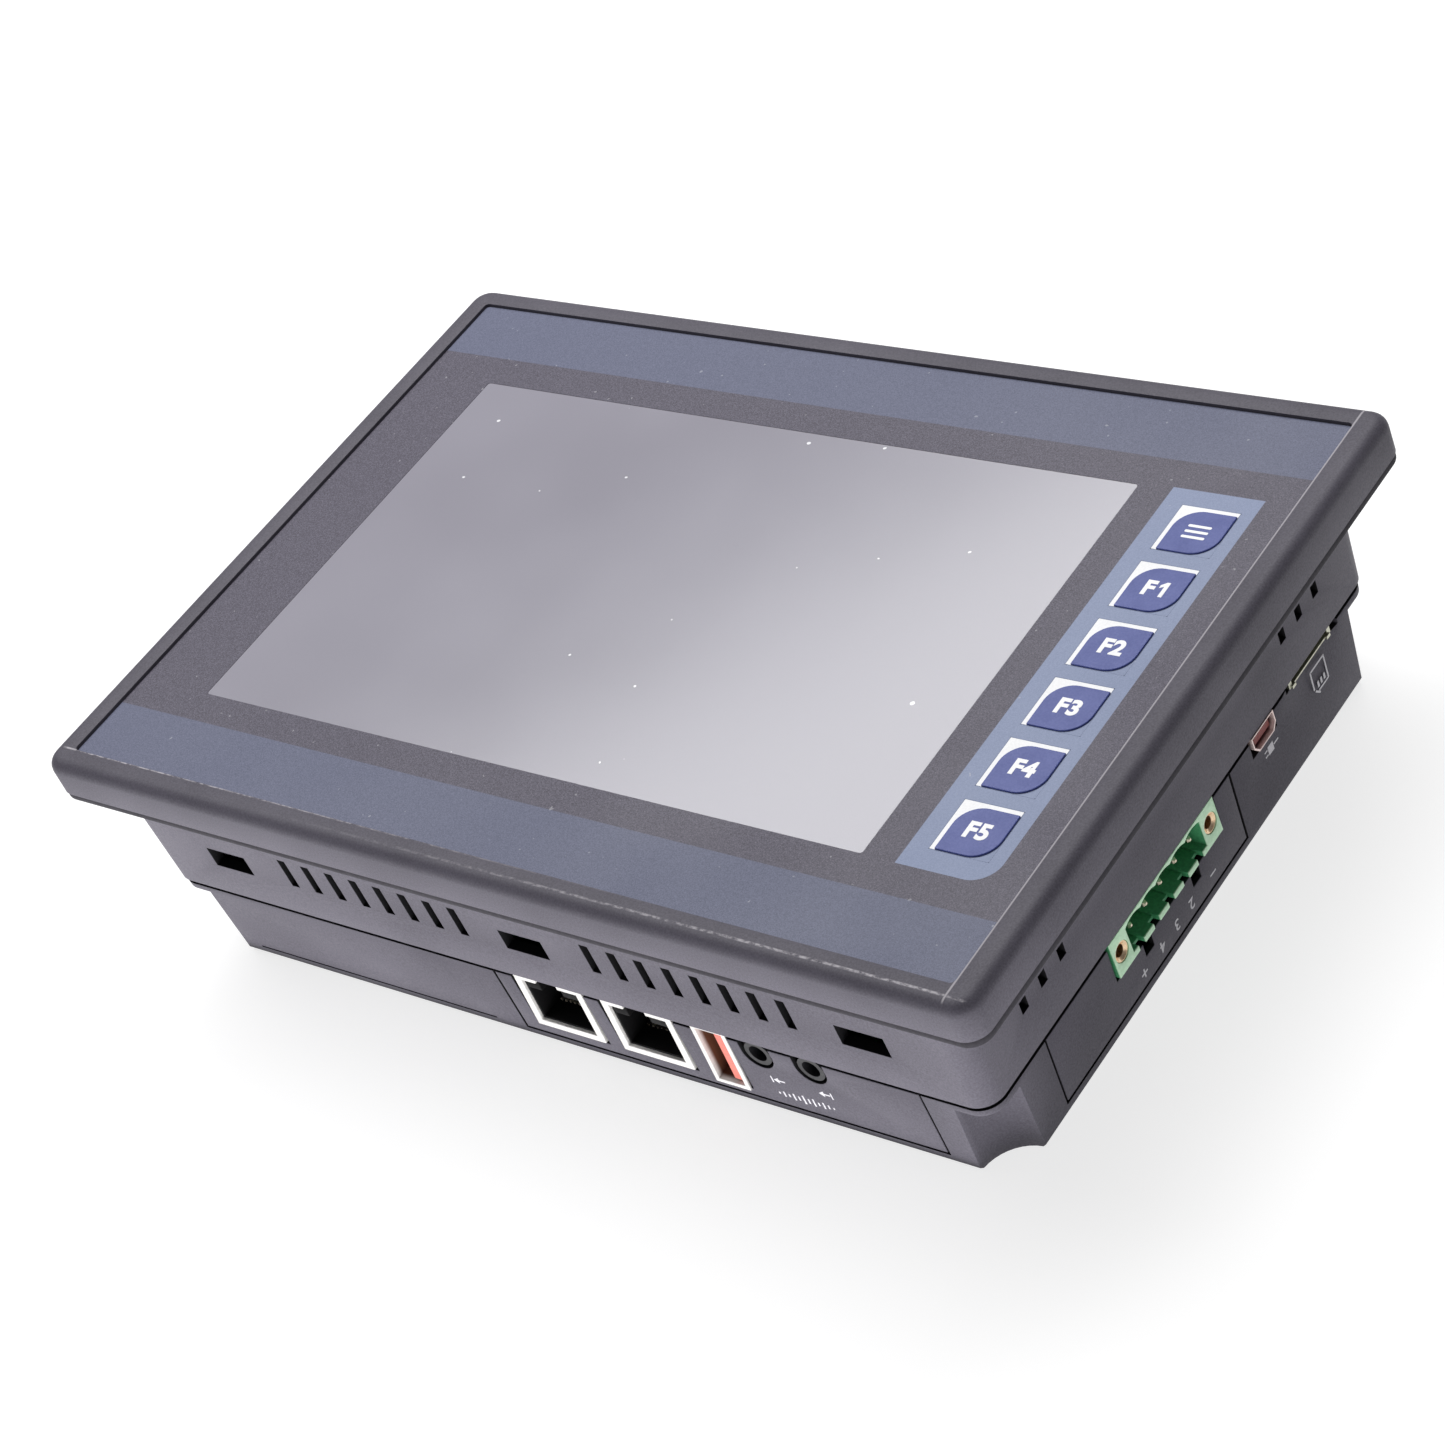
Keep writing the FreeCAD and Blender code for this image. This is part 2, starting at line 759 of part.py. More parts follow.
def make_usb_host_tongue():
    """Plastic core of the USB host port: back wall and the contact tongue."""
    low = board_bottom - host_height + host_skin
    high = board_bottom - host_skin
    right = host_x + host_length / 2 - host_skin
    left = host_x - host_length / 2 + host_skin
    front = jack_front - host_proud + host_tongue_set_back
    back = jack_front - host_proud + host_depth - host_skin
    base = box(left, right, back - host_base, back, low, high)
    tongue_right = right - host_tongue_gap
    tongue = box(tongue_right - host_tongue, tongue_right, front, back - 1.0, low + 0.7, high - 0.7)
    return base.fuse(tongue).removeSplitter()


def make_usb_host_contacts():
    """Four contact springs on the tongue of the USB host port."""
    face = host_x + host_length / 2 - host_skin - host_tongue_gap - host_tongue
    middle = board_bottom - host_height / 2
    back = jack_front - host_proud + host_depth - host_skin - host_base
    springs = []
    for step in range(host_contact_count):
        z = middle + (step - (host_contact_count - 1) / 2) * host_contact_pitch
        springs.append(box(face - 0.3, face, jack_front + 1.6, back, z - 0.5, z + 0.5))
    return Part.makeCompound(springs)


def make_audio_jack(x):
    """Audio jack: square body, round barrel and a bore for the plug."""
    barrel_front = -rear_wall_y(audio_z) + audio_recess
    body_front = barrel_front + audio_barrel_length - 0.6
    body = box(x - audio_body_half, x + audio_body_half, body_front, barrel_front + audio_depth,
               audio_z - audio_body_low, board_bottom)
    barrel = rod(audio_barrel, audio_barrel_length, Vec(x, barrel_front, audio_z), Y_AXIS)
    bore = rod(audio_bore, audio_depth - 1.0, Vec(x, barrel_front - 1.0, audio_z), Y_AXIS)
    return body.fuse(barrel).removeSplitter().cut(bore)


# ---------------------------------------------------------------- ports on the short side
def device_outline(inset, x):
    """Outline of the small USB port: wide along the board, with cut lower corners."""
    half = device_length / 2 - inset
    high = board_bottom - inset
    low = board_bottom - device_height + inset
    waist = low + device_foot_rise - inset * 0.4
    foot = half - device_foot_cut
    points = [(half, high), (-half, high), (-half, waist), (-foot, low), (foot, low), (half, waist)]
    corners = [Vec(x, device_y + y, z) for y, z in points]
    return Part.makePolygon(corners + [corners[0]])


def make_usb_device_shell():
    """Metal shell of the USB device port."""
    front = rear_wall_x(device_level) + device_proud
    shell = Part.Face(device_outline(0.0, front - device_depth)).extrude(Vec(device_depth, 0, 0))
    room = Part.Face(device_outline(device_skin, front - device_depth + device_skin))
    return shell.cut(room.extrude(Vec(device_depth, 0, 0)))


def make_usb_device_tongue():
    """Plastic core of the USB device port."""
    front = rear_wall_x(device_level) + device_proud
    back = front - device_depth + device_skin
    base = Part.Face(device_outline(device_skin, back)).extrude(Vec(device_base, 0, 0))
    tongue = box(back + device_base - 0.5, front - 0.7, device_y - 2.6, device_y + 2.6,
                 board_bottom - 2.6, board_bottom - 1.3)
    return base.fuse(tongue).removeSplitter()


def make_card_socket():
    """Flat metal socket for a memory card, open towards the wall, with two small locking tabs."""
    front = rear_wall_x(rear_top) - 0.05
    low = board_bottom - card_height
    body = box(front - card_depth, front, card_y - card_length / 2, card_y + card_length / 2, low, board_bottom)
    slot = box(front - card_depth + 1.0, front + 1.0, card_y - card_slot_half, card_y + card_slot_half,
               low + card_floor, low + card_floor + card_slot_height)
    tabs = []
    for side in (-1, 1):
        y = card_y + side * (card_length / 2 - card_tab)
        tabs.append(box(front - 1.0, front + card_tab_proud, y - card_tab / 2, y + card_tab / 2,
                        low - card_floor, low + card_floor))
    return body.cut(slot).fuse(tabs).removeSplitter()


header_front = rear_wall_x(header_level) + header_proud
header_low = board_bottom - header_height
header_mid_z = board_bottom - header_height / 2


def pole_positions():
    """Y positions of the terminal header's poles."""
    first = header_y - header_pitch * (header_poles - 1) / 2
    return [first + step * header_pitch for step in range(header_poles)]


def make_terminal_header():
    """Green shrouded header: one trough with a scalloped roof and a grooved, notched floor, two screw flanges."""
    body = box(header_front - header_depth, header_front, header_y - header_length / 2,
               header_y + header_length / 2, header_low, board_bottom)
    back = header_front - header_cavity_depth
    half_pitch = header_pitch / 2
    floor = header_low + header_floor
    roof = board_bottom - header_top_wall
    cusp = roof - header_arch_rise
    arch_radius = (half_pitch ** 2 + header_arch_rise ** 2) / (2 * header_arch_rise)
    poles = pole_positions()
    tools = [box(back, header_front + 1.0, poles[0] - half_pitch, poles[-1] + half_pitch, floor, cusp)]
    for y in poles:
        arch = rod(arch_radius, header_cavity_depth + 1.0, Vec(back, y, roof - arch_radius), X_AXIS)
        tools.append(arch.common(box(back, header_front + 1.0, y - half_pitch, y + half_pitch, cusp - 0.5, roof)))
        tools.append(box(back, header_front + 1.0, y - header_groove_width / 2, y + header_groove_width / 2,
                         floor - header_groove_depth, floor + 0.5))
        tools.append(box(header_front - header_notch_depth, header_front + 1.0, y - header_groove_width / 2,
                         y + header_groove_width / 2, header_low - 1.0, floor + 0.5))
    for side in (-1, 1):
        tools.append(rod(header_insert_radius, header_insert_length + 1.2,
                         Vec(header_front - header_insert_length - 0.2, header_y + side * header_screw_pitch / 2,
                             header_mid_z), X_AXIS))
    return body.cut(tools)


def make_terminal_pins():
    """Five square pins with tapered tips that reach from the header's back wall to just inside its mouth."""
    half = header_pin / 2
    back = header_front - header_cavity_depth
    shoulder = header_front - header_pin_set_back - half
    pins = []
    for y in pole_positions():
        shank = box(back, shoulder, y - half, y + half, header_pin_z - half, header_pin_z + half)
        wires = []
        for x, reach in ((shoulder, half), (shoulder + half, header_pin_tip / 2)):
            corners = [Vec(x, y + side_y * reach, header_pin_z + side_z * reach)
                       for side_y, side_z in ((-1, -1), (1, -1), (1, 1), (-1, 1))]
            wires.append(Part.makePolygon(corners + [corners[0]]))
        pins.append(shank.fuse(Part.makeLoft(wires, True, True)).removeSplitter())
    return Part.makeCompound(pins)


def make_terminal_inserts():
    """Two threaded brass inserts in the header's flanges."""
    inserts = []
    for side in (-1, 1):
        start = Vec(header_front - header_insert_length - 0.2, header_y + side * header_screw_pitch / 2, header_mid_z)
        insert = rod(header_insert_radius, header_insert_length, start, X_AXIS)
        inserts.append(insert.cut(rod(header_thread_radius, header_insert_length + 1.0, start, X_AXIS)))
    return Part.makeCompound(inserts)


# ---------------------------------------------------------------- rear housing and port plates
def bottom_port_openings(gap):
    """Cutters for the jacks, the USB host port and the audio jacks, open towards the seam."""
    reach_from = -rear_half_y - 3.0
    reach_to = -rear_half_y + 6.0
    top = board_top + 1.0
    tools = []
    for x in jack_centres:
        tools.append(box(x - jack_length / 2 - gap, x + jack_length / 2 + gap, reach_from, reach_to,
                         board_bottom - jack_height - gap, top))
    tools.append(box(host_x - host_length / 2 - gap, host_x + host_length / 2 + gap, reach_from, reach_to,
                     board_bottom - host_height - gap, top))
    for x in audio_centres:
        tools.append(rod(audio_cutout, 9.0, Vec(x, reach_from, audio_z), Y_AXIS))
        tools.append(box(x - audio_cutout, x + audio_cutout, reach_from, reach_to, audio_z, top))
    return tools


def side_port_openings(gap):
    """Cutters for the terminal header, the USB device port and the card slot."""
    reach_from = rear_half_x - 6.0
    reach_to = rear_half_x + 3.0
    top = board_top + 1.0
    tools = [box(reach_from, reach_to, header_y - header_length / 2 - gap, header_y + header_length / 2 + gap,
                 header_low - gap, top)]
    for side in (-1, 1):
        y = header_y + side * header_notch_reach
        tools.append(box(reach_from, reach_to, y - header_notch_half, y + header_notch_half,
                         header_low - header_notch_drop, header_low))
    tools.append(box(reach_from, reach_to, device_y - device_length / 2 - gap, device_y + device_length / 2 + gap,
                     board_bottom - device_height - gap, top))
    tools.append(box(reach_from, reach_to, card_y - card_length / 2 - card_gap_low,
                     card_y + card_length / 2 + card_gap_high,
                     board_bottom - card_height - card_floor - fit_gap, top))
    return tools


def corner_cones(grow, z_to):
    """Cones at the four rear corners, grown by a wall thickness."""
    cones = []
    for x, y in four_corners(scallop_x, scallop_y):
        slope = (scallop_radius_top - scallop_radius_back) / scallop_top
        low_radius = scallop_radius_back + grow - slope * 1.0
        high_radius = scallop_radius_back + grow + slope * z_to
        cones.append(Part.makeCone(low_radius, high_radius, z_to + 1.0, Vec(x, y, -1.0), Z_AXIS))
    return cones


def make_back_vents():
    """Cutters for two groups of cooling slots in the back wall."""
    tools = []
    for group_x in back_vent_groups:
        for step in range(back_vent_count):
            x = group_x + (step - (back_vent_count - 1) / 2) * back_vent_pitch
            tools.append(box(x - back_vent_width / 2, x + back_vent_width / 2, back_vent_y[0], back_vent_y[1],
                             -1.0, back_thickness + 1.0))
    return tools


def make_rear_housing():
    """Back wall and drafted side walls, with hollowed corners, bosses and a locating lip."""
    shell = rear_block(0.0, back_chamfer, rear_top)
    foot_x = rear_wall_x(back_chamfer)
    foot_y = rear_wall_y(back_chamfer)
    outlines = [rounded_outline(foot_x - back_chamfer, foot_y - back_chamfer, wall_corner - back_chamfer, 0.0),
                rounded_outline(foot_x, foot_y, wall_corner, back_chamfer)]
    foot = Part.makeLoft(outlines, True, True)
    shell = shell.fuse(foot).removeSplitter()
    room = rear_block(rear_wall, back_thickness, rear_top + 1.0)
    room = room.cut(corner_cones(rear_wall, rear_top + 2.0))
    shell = shell.cut(room)

    lip_outer = front_half_x - wall - lip_gap
    lip_shift = rear_half_x - lip_outer
    lip_inner_shift = lip_shift + lip_thickness
    lip = rear_block(lip_shift, rear_top - 0.5, rear_top + lip_rise)
    root = rear_block(rear_wall - 0.4, rear_top - lip_root, rear_top)
    lip = lip.fuse(root).cut(rear_block(lip_inner_shift, rear_top - lip_root - 1.0, rear_top + lip_rise + 1.0))
    bosses = [lip]
    for x, y in board_screws_at:
        bosses.append(rod(board_boss_radius, board_bottom - back_thickness + 0.5, Vec(x, y, back_thickness - 0.5)))
    for x, y in four_corners(case_screw_x, case_screw_y):
        bosses.append(rod(column_radius, rear_top - 1.0, Vec(x, y, 1.0)))
    shell = fuse_all(shell, bosses)

    tools = corner_cones(0.0, scallop_top)
    for x, y in board_screws_at:
        tools.append(rod(screw_hole, 9.0, Vec(x, y, board_bottom - 8.0)))
    for x, y in four_corners(case_screw_x, case_screw_y):
        tools.append(rod(screw_hole, rear_top + 2.0, Vec(x, y, -1.0)))
        tools.append(rod(counterbore_radius, case_head_recess + 1.0, Vec(x, y, -1.0)))
    tools += make_back_vents()
    tools += plate_rebates()
    tools += bottom_port_openings(port_gap + 0.6)
    tools.append(box(jack_centres[0] - jack_length / 2 - 1.1, audio_centres[-1] + audio_cutout + 0.6,
                     -rear_half_y - 3.0, -rear_half_y + 6.0, plate_foot + plate_frame, board_top + 1.0))
    tools += side_port_openings(port_gap)
    groove = rear_block(-1.0, plate_foot, plate_foot + 0.4).cut(rear_block(0.35, plate_foot - 1.0, plate_foot + 1.0))
    tools.append(groove.common(box(groove_from, groove_to, -rear_half_y - 2.0, -rear_half_y + 4.0, 0.0, 6.0)))
    tools.append(card_scoop())
    return cut_all(shell, tools)


def card_scoop():
    """Shallow spherical finger scoop round the card slot."""
    centre_x = rear_wall_x(rear_top - scoop_drop) + scoop_radius - scoop_depth
    return Part.makeSphere(scoop_radius, Vec(centre_x, card_y, rear_top - scoop_centre_drop))


def plate_rebates():
    """Cutters for the two port plates: a shallow rebate and a smaller opening right through."""
    skin = rear_block(-1.0, plate_foot, rear_top + 1.0).cut(
        rear_block(plate_thickness, plate_foot - 1.0, rear_top + 2.0))
    bottom_rebate = skin.common(box(bottom_plate_from, bottom_plate_to, -rear_half_y - 3.0, -rear_half_y + 6.0,
                                    plate_foot, rear_top + 1.0))
    bottom_through = box(bottom_plate_from + plate_frame, bottom_plate_to - plate_frame,
                         -rear_half_y - 3.0, -rear_half_y + 3.0, plate_foot + plate_frame, rear_top - lip_root)
    side_rebate = skin.common(box(rear_half_x - 6.0, rear_half_x + 3.0, side_plate_from, side_plate_to,
                                  plate_foot, rear_top + 1.0))
    side_through = box(rear_half_x - 3.0, rear_half_x + 3.0, side_plate_from + plate_frame,
                       side_plate_to - plate_frame, plate_foot + plate_frame, rear_top - lip_root)
    return [bottom_rebate, bottom_through, side_rebate, side_through]


def make_port_plate(x_from, x_to, y_from, y_to, openings):
    """Thin plate that follows the drafted wall, cut round its ports."""
    skin = rear_block(0.0, plate_foot + plate_gap, rear_top).cut(
        rear_block(plate_thickness - 0.05, plate_foot - 1.0, rear_top + 1.0))
    plate = skin.common(box(x_from, x_to, y_from, y_to, plate_foot + plate_gap, rear_top))
    return plate.cut(openings)


def make_bottom_port_plate():
    """Plate round the network, USB host and audio ports."""
    return make_port_plate(bottom_plate_from + plate_gap, bottom_plate_to - plate_gap,
                           -rear_half_y - 1.0, -rear_half_y + 6.0, bottom_port_openings(port_gap))


def make_side_port_plate():
    """Plate round the terminal header."""
    return make_port_plate(rear_half_x - 6.0, rear_half_x + 1.0, side_plate_from + plate_gap,
                           side_plate_to - plate_gap, side_port_openings(port_gap))


def make_case_inserts():
    """Threaded brass inserts in the front housing's columns."""
    inserts = []
    for x, y in four_corners(case_screw_x, case_screw_y):
        sleeve = rod(insert_radius, insert_length, Vec(x, y, rear_top))
        inserts.append(sleeve.cut(rod(screw_radius + 0.05, insert_length + 2.0, Vec(x, y, rear_top - 1.0))))
    return Part.makeCompound(inserts)


def make_case_screws():
    """Four long screws that hold the two housings together."""
    head_bottom = case_head_recess - 1.8
    length = rear_top + insert_length + 2.0 - case_head_recess
    return Part.makeCompound([make_screw(x, y, head_bottom, length)
                              for x, y in four_corners(case_screw_x, case_screw_y)])


# ---------------------------------------------------------------- build
def build_all():
    """Make every node and write it to its own file."""
    os.makedirs("parts", exist_ok=True)
    nodes = {
        "front_housing": make_front_housing(),
        "panel_gasket": make_panel_gasket(),
        "graphic_overlay": make_overlay(),
        "display_film": make_display_film(),
        "keypad_board": make_keypad_board(),
        "key_switches": make_key_switches(),
        "touch_screen": make_touch_screen(),
        "touch_seal": make_touch_seal(),
        "lcd_frame": make_lcd_frame(),
        "lcd_glass": make_lcd_glass(),
        "backlight": make_backlight(),
        "lcd_bracket": make_lcd_bracket(),
        "lcd_screws": make_lcd_screws(),
        "lcd_cable": make_flex(lcd_cable_x, lcd_cable_y, plate_back - lcd_depth - flex_reach),
        "keypad_cable": make_flex(keypad_cable_x, keypad_cable_y, plate_back - keypad_board_thickness),
        "touch_cable": make_flex(touch_cable_x, touch_cable_y, plate_back - lcd_depth - flex_reach),
        "main_board": make_main_board(),
        "processor": make_processor(),
        "memory_chips": make_memory_chips(),
        "power_capacitors": make_power_capacitors(),
        "power_coil": make_power_coil(),
        "battery_holder": make_battery_holder(),
        "backup_battery": make_backup_battery(),
        "board_screws": make_board_screws(),
        "usb_host_shell": make_usb_host_shell(),
        "usb_host_tongue": make_usb_host_tongue(),
        "usb_host_contacts": make_usb_host_contacts(),
        "audio_jack_in": make_audio_jack(audio_centres[0]),
        "audio_jack_out": make_audio_jack(audio_centres[1]),
        "usb_device_shell": make_usb_device_shell(),
        "usb_device_tongue": make_usb_device_tongue(),
        "card_socket": make_card_socket(),
        "terminal_header": make_terminal_header(),
        "terminal_pins": make_terminal_pins(),
        "terminal_inserts": make_terminal_inserts(),
        "rear_housing": make_rear_housing(),
        "bottom_port_plate": make_bottom_port_plate(),
        "side_port_plate": make_side_port_plate(),
        "case_inserts": make_case_inserts(),
        "case_screws": make_case_screws(),
    }
    for index, name in enumerate(key_names):
        nodes[name] = make_key(index)
    for number, x in enumerate(jack_centres, start=1):
        nodes["ethernet_shell_%d" % number] = make_jack_shell(x)
        nodes["ethernet_insert_%d" % number] = make_jack_insert(x)
        nodes["ethernet_contacts_%d" % number] = make_jack_contacts(x)
    for name, shape in nodes.items():
        save(name, shape)


build_all()
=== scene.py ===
"""Looks of the HMI touch panel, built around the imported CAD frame.

X runs towards the keys, Y up the front and Z out of the screen, in metres.
"""
import json
import math

import bmesh
import bpy
from mathutils import Euler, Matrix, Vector

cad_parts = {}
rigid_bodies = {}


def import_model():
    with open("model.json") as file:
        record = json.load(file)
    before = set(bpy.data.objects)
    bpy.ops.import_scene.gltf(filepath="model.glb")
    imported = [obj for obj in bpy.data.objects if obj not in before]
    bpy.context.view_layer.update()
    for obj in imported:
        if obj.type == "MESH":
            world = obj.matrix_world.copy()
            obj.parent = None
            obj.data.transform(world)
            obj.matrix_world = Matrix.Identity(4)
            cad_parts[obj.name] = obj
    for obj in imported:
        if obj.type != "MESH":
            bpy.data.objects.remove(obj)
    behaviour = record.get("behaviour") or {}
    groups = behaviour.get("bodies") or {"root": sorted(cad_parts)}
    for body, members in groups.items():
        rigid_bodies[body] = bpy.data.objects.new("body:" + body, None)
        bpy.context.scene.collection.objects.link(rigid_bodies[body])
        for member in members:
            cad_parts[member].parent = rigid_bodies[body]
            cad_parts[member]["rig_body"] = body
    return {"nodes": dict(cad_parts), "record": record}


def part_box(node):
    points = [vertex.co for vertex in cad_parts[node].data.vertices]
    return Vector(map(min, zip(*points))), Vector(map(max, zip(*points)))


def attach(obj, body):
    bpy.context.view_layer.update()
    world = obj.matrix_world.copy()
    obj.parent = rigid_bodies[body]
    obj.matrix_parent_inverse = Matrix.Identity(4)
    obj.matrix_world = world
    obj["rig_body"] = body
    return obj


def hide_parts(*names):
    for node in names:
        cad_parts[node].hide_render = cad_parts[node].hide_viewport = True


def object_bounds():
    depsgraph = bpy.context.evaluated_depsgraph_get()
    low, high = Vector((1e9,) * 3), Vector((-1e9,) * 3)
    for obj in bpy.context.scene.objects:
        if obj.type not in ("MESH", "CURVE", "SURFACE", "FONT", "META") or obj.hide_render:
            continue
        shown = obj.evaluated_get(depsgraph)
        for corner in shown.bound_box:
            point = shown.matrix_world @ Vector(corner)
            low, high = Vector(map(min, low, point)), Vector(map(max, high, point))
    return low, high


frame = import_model()
cad_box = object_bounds()
nodes = frame["nodes"]
record = frame["record"]

MM = 0.001
KEYS = ["key_menu", "key_f1", "key_f2", "key_f3", "key_f4", "key_f5"]

# ---------------------------------------------------------------- places read from the frame
overlay_low, overlay_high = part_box("graphic_overlay")
housing_low, housing_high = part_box("front_housing")
FACE_Z = overlay_high.z
RIM_Z = housing_high.z
FLANGE_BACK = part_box("panel_gasket")[1].z
FRONT_DRAFT = 0.033  # widening of a case wall for each metre of height
REAR_DRAFT = 0.045
WALL_CORNER = 4.5 * MM
LEVEL_SLACK = 0.1 * MM
SEAM_LIP = 1.1 * MM
SEAM_SPLIT = 0.6 * MM
BACK_BAND = 1.0 * MM
CORNER_HOLLOW = 12 * MM
SKIN_DEPTH = 0.14 * MM
PORT_DEPTH = 1.0 * MM
EASE = 0.01 * MM
PRINT_THICKNESS = 0.03 * MM
WALL_PRINT_BOLD = 0.03 * MM
FLOOR_GAP = 0.0002


def widest(node, z_low, z_high):
    """Half length and half width of a node between two levels."""
    picked = [v.co for v in nodes[node].data.vertices if z_low <= v.co.z <= z_high]
    return max(abs(p.x) for p in picked), max(abs(p.y) for p in picked)


REAR_TOP = housing_low.z
WALL_FOOT = REAR_TOP + SEAM_LIP
FRONT_HALF = widest("front_housing", WALL_FOOT - LEVEL_SLACK, WALL_FOOT + LEVEL_SLACK)
REAR_HALF = widest("rear_housing", REAR_TOP - LEVEL_SLACK, REAR_TOP + LEVEL_SLACK)


# ---------------------------------------------------------------- node helpers
class Nodes:
    """Small helper that builds one procedural material."""

    def __init__(self, name):
        self.material = bpy.data.materials.new(name)
        self.material.use_nodes = True
        self.tree = self.material.node_tree
        self.tree.nodes.clear()
        self.output = self.tree.nodes.new("ShaderNodeOutputMaterial")
        self.shader = self.tree.nodes.new("ShaderNodeBsdfPrincipled")
        self.link(self.shader.outputs[0], self.output.inputs[0])
        coords = self.tree.nodes.new("ShaderNodeTexCoord")
        self.place = coords.outputs["Object"]
        split = self.tree.nodes.new("ShaderNodeSeparateXYZ")
        self.link(self.place, split.inputs[0])
        self.x, self.y, self.z = split.outputs

    def link(self, source, target):
        """Join two sockets."""
        self.tree.links.new(source, target)

    def feed(self, socket, value):
        """Set a socket to a number, or join it to another socket."""
        if isinstance(value, bpy.types.NodeSocket):
            self.link(value, socket)
        else:
            socket.default_value = value

    def math(self, operation, first, second=0.0, third=0.0):
        """One math node."""
        node = self.tree.nodes.new("ShaderNodeMath")
        node.operation = operation
        for socket, value in zip(node.inputs, (first, second, third)):
            self.feed(socket, value)
        return node.outputs[0]

    def noise(self, size, detail=2.0, rough=0.5, stretch=(1, 1, 1)):
        """Noise whose lumps are about size metres wide."""
        mapping = self.tree.nodes.new("ShaderNodeMapping")
        mapping.inputs["Scale"].default_value = stretch
        self.link(self.place, mapping.inputs["Vector"])
        node = self.tree.nodes.new("ShaderNodeTexNoise")
        node.inputs["Scale"].default_value = 1.0 / size
        node.inputs["Detail"].default_value = detail
        node.inputs["Roughness"].default_value = rough
        self.link(mapping.outputs[0], node.inputs["Vector"])
        return node.outputs["Fac"]

    def ramp(self, value, stops):
        """Colour ramp from (position, grey or colour) stops."""
        node = self.tree.nodes.new("ShaderNodeValToRGB")
        elements = node.color_ramp.elements
        while len(elements) < len(stops):
            elements.new(0.5)
        for element, (position, colour) in zip(elements, stops):
            element.position = position
            solid = colour if isinstance(colour, tuple) else (colour,) * 3
            element.color = solid + (1.0,)
        self.link(value, node.inputs[0])
        return node.outputs[0]

    def step(self, value, low, high):
        """Smooth 0 to 1 as value goes from low to high."""
        node = self.tree.nodes.new("ShaderNodeMapRange")
        node.interpolation_type = "SMOOTHSTEP"
        self.feed(node.inputs["Value"], value)
        node.inputs["From Min"].default_value = low
        node.inputs["From Max"].default_value = high
        return node.outputs["Result"]

    def mix(self, factor, first, second):
        """Colour mix."""
        node = self.tree.nodes.new("ShaderNodeMix")
        node.data_type = "RGBA"
        self.feed(node.inputs["Factor"], factor)
        for socket, value in ((node.inputs["A"], first), (node.inputs["B"], second)):
            if isinstance(value, tuple):
                value = value + (1.0,)
            self.feed(socket, value)
        return node.outputs["Result"]

    def bump(self, height, strength, depth):
        """Bump on the shader's normal."""
        node = self.tree.nodes.new("ShaderNodeBump")
        node.inputs["Strength"].default_value = strength
        node.inputs["Distance"].default_value = depth
        self.link(height, node.inputs["Height"])
        self.link(node.outputs[0], self.shader.inputs["Normal"])

    def set(self, **values):
        """Set or join the shader's sockets."""
        names = {"colour": "Base Color", "rough": "Roughness", "metal": "Metallic",
                 "spec": "Specular IOR Level", "alpha": "Alpha", "glow": "Emission Strength"}
        for key, value in values.items():
            if isinstance(value, tuple):
                value = value + (1.0,)
            self.feed(self.shader.inputs[names[key]], value)


def grained(name, dark, light, grain, rough=(0.45, 0.6), bump=0.25, depth=0.00004, metal=0.0, spec=0.5,
            blotch=0.012):
    """Moulded or cast surface: fine grain, slow blotches and uneven gloss."""
    n = Nodes(name)
    fine = n.noise(grain, 3.0, 0.6)
    slow = n.noise(blotch, 2.0)
    both = n.math("MULTIPLY_ADD", fine, 0.6, n.math("MULTIPLY", slow, 0.4))
    n.set(colour=n.ramp(both, [(0.3, dark), (0.7, light)]),
          rough=n.ramp(both, [(0.3, rough[1]), (0.7, rough[0])]), metal=metal, spec=spec)
    n.bump(fine, bump, depth)
    return n.material


def brushed(name, dark, light, along=(1, 30, 30), rough=(0.22, 0.4), size=0.004):
    """Drawn or plated metal with fine lines."""
    n = Nodes(name)
    lines = n.noise(size, 3.0, 0.6, along)
    smear = n.noise(0.006, 2.0)
    n.set(colour=n.ramp(lines, [(0.3, dark), (0.7, light)]),
          rough=n.ramp(smear, [(0.35, rough[0]), (0.65, rough[1])]), metal=1.0)
    n.bump(lines, 0.12, 0.00002)
    return n.material


# ---------------------------------------------------------------- materials
CASE_DARK = (0.062, 0.057, 0.073)
CASE_LIGHT = (0.098, 0.091, 0.115)
# Pale colour of the bezel's rub lines, partly wear and partly painted highlight.
RUB_AND_HIGHLIGHT = (0.42, 0.40, 0.43)


def between(n, value, low, high, soft=0.00008):
    """1 between two values and 0 outside, with a narrow soft edge."""
    return n.math("MULTIPLY", n.step(value, low - soft, low + soft),
                  n.step(value, high + soft, high - soft))


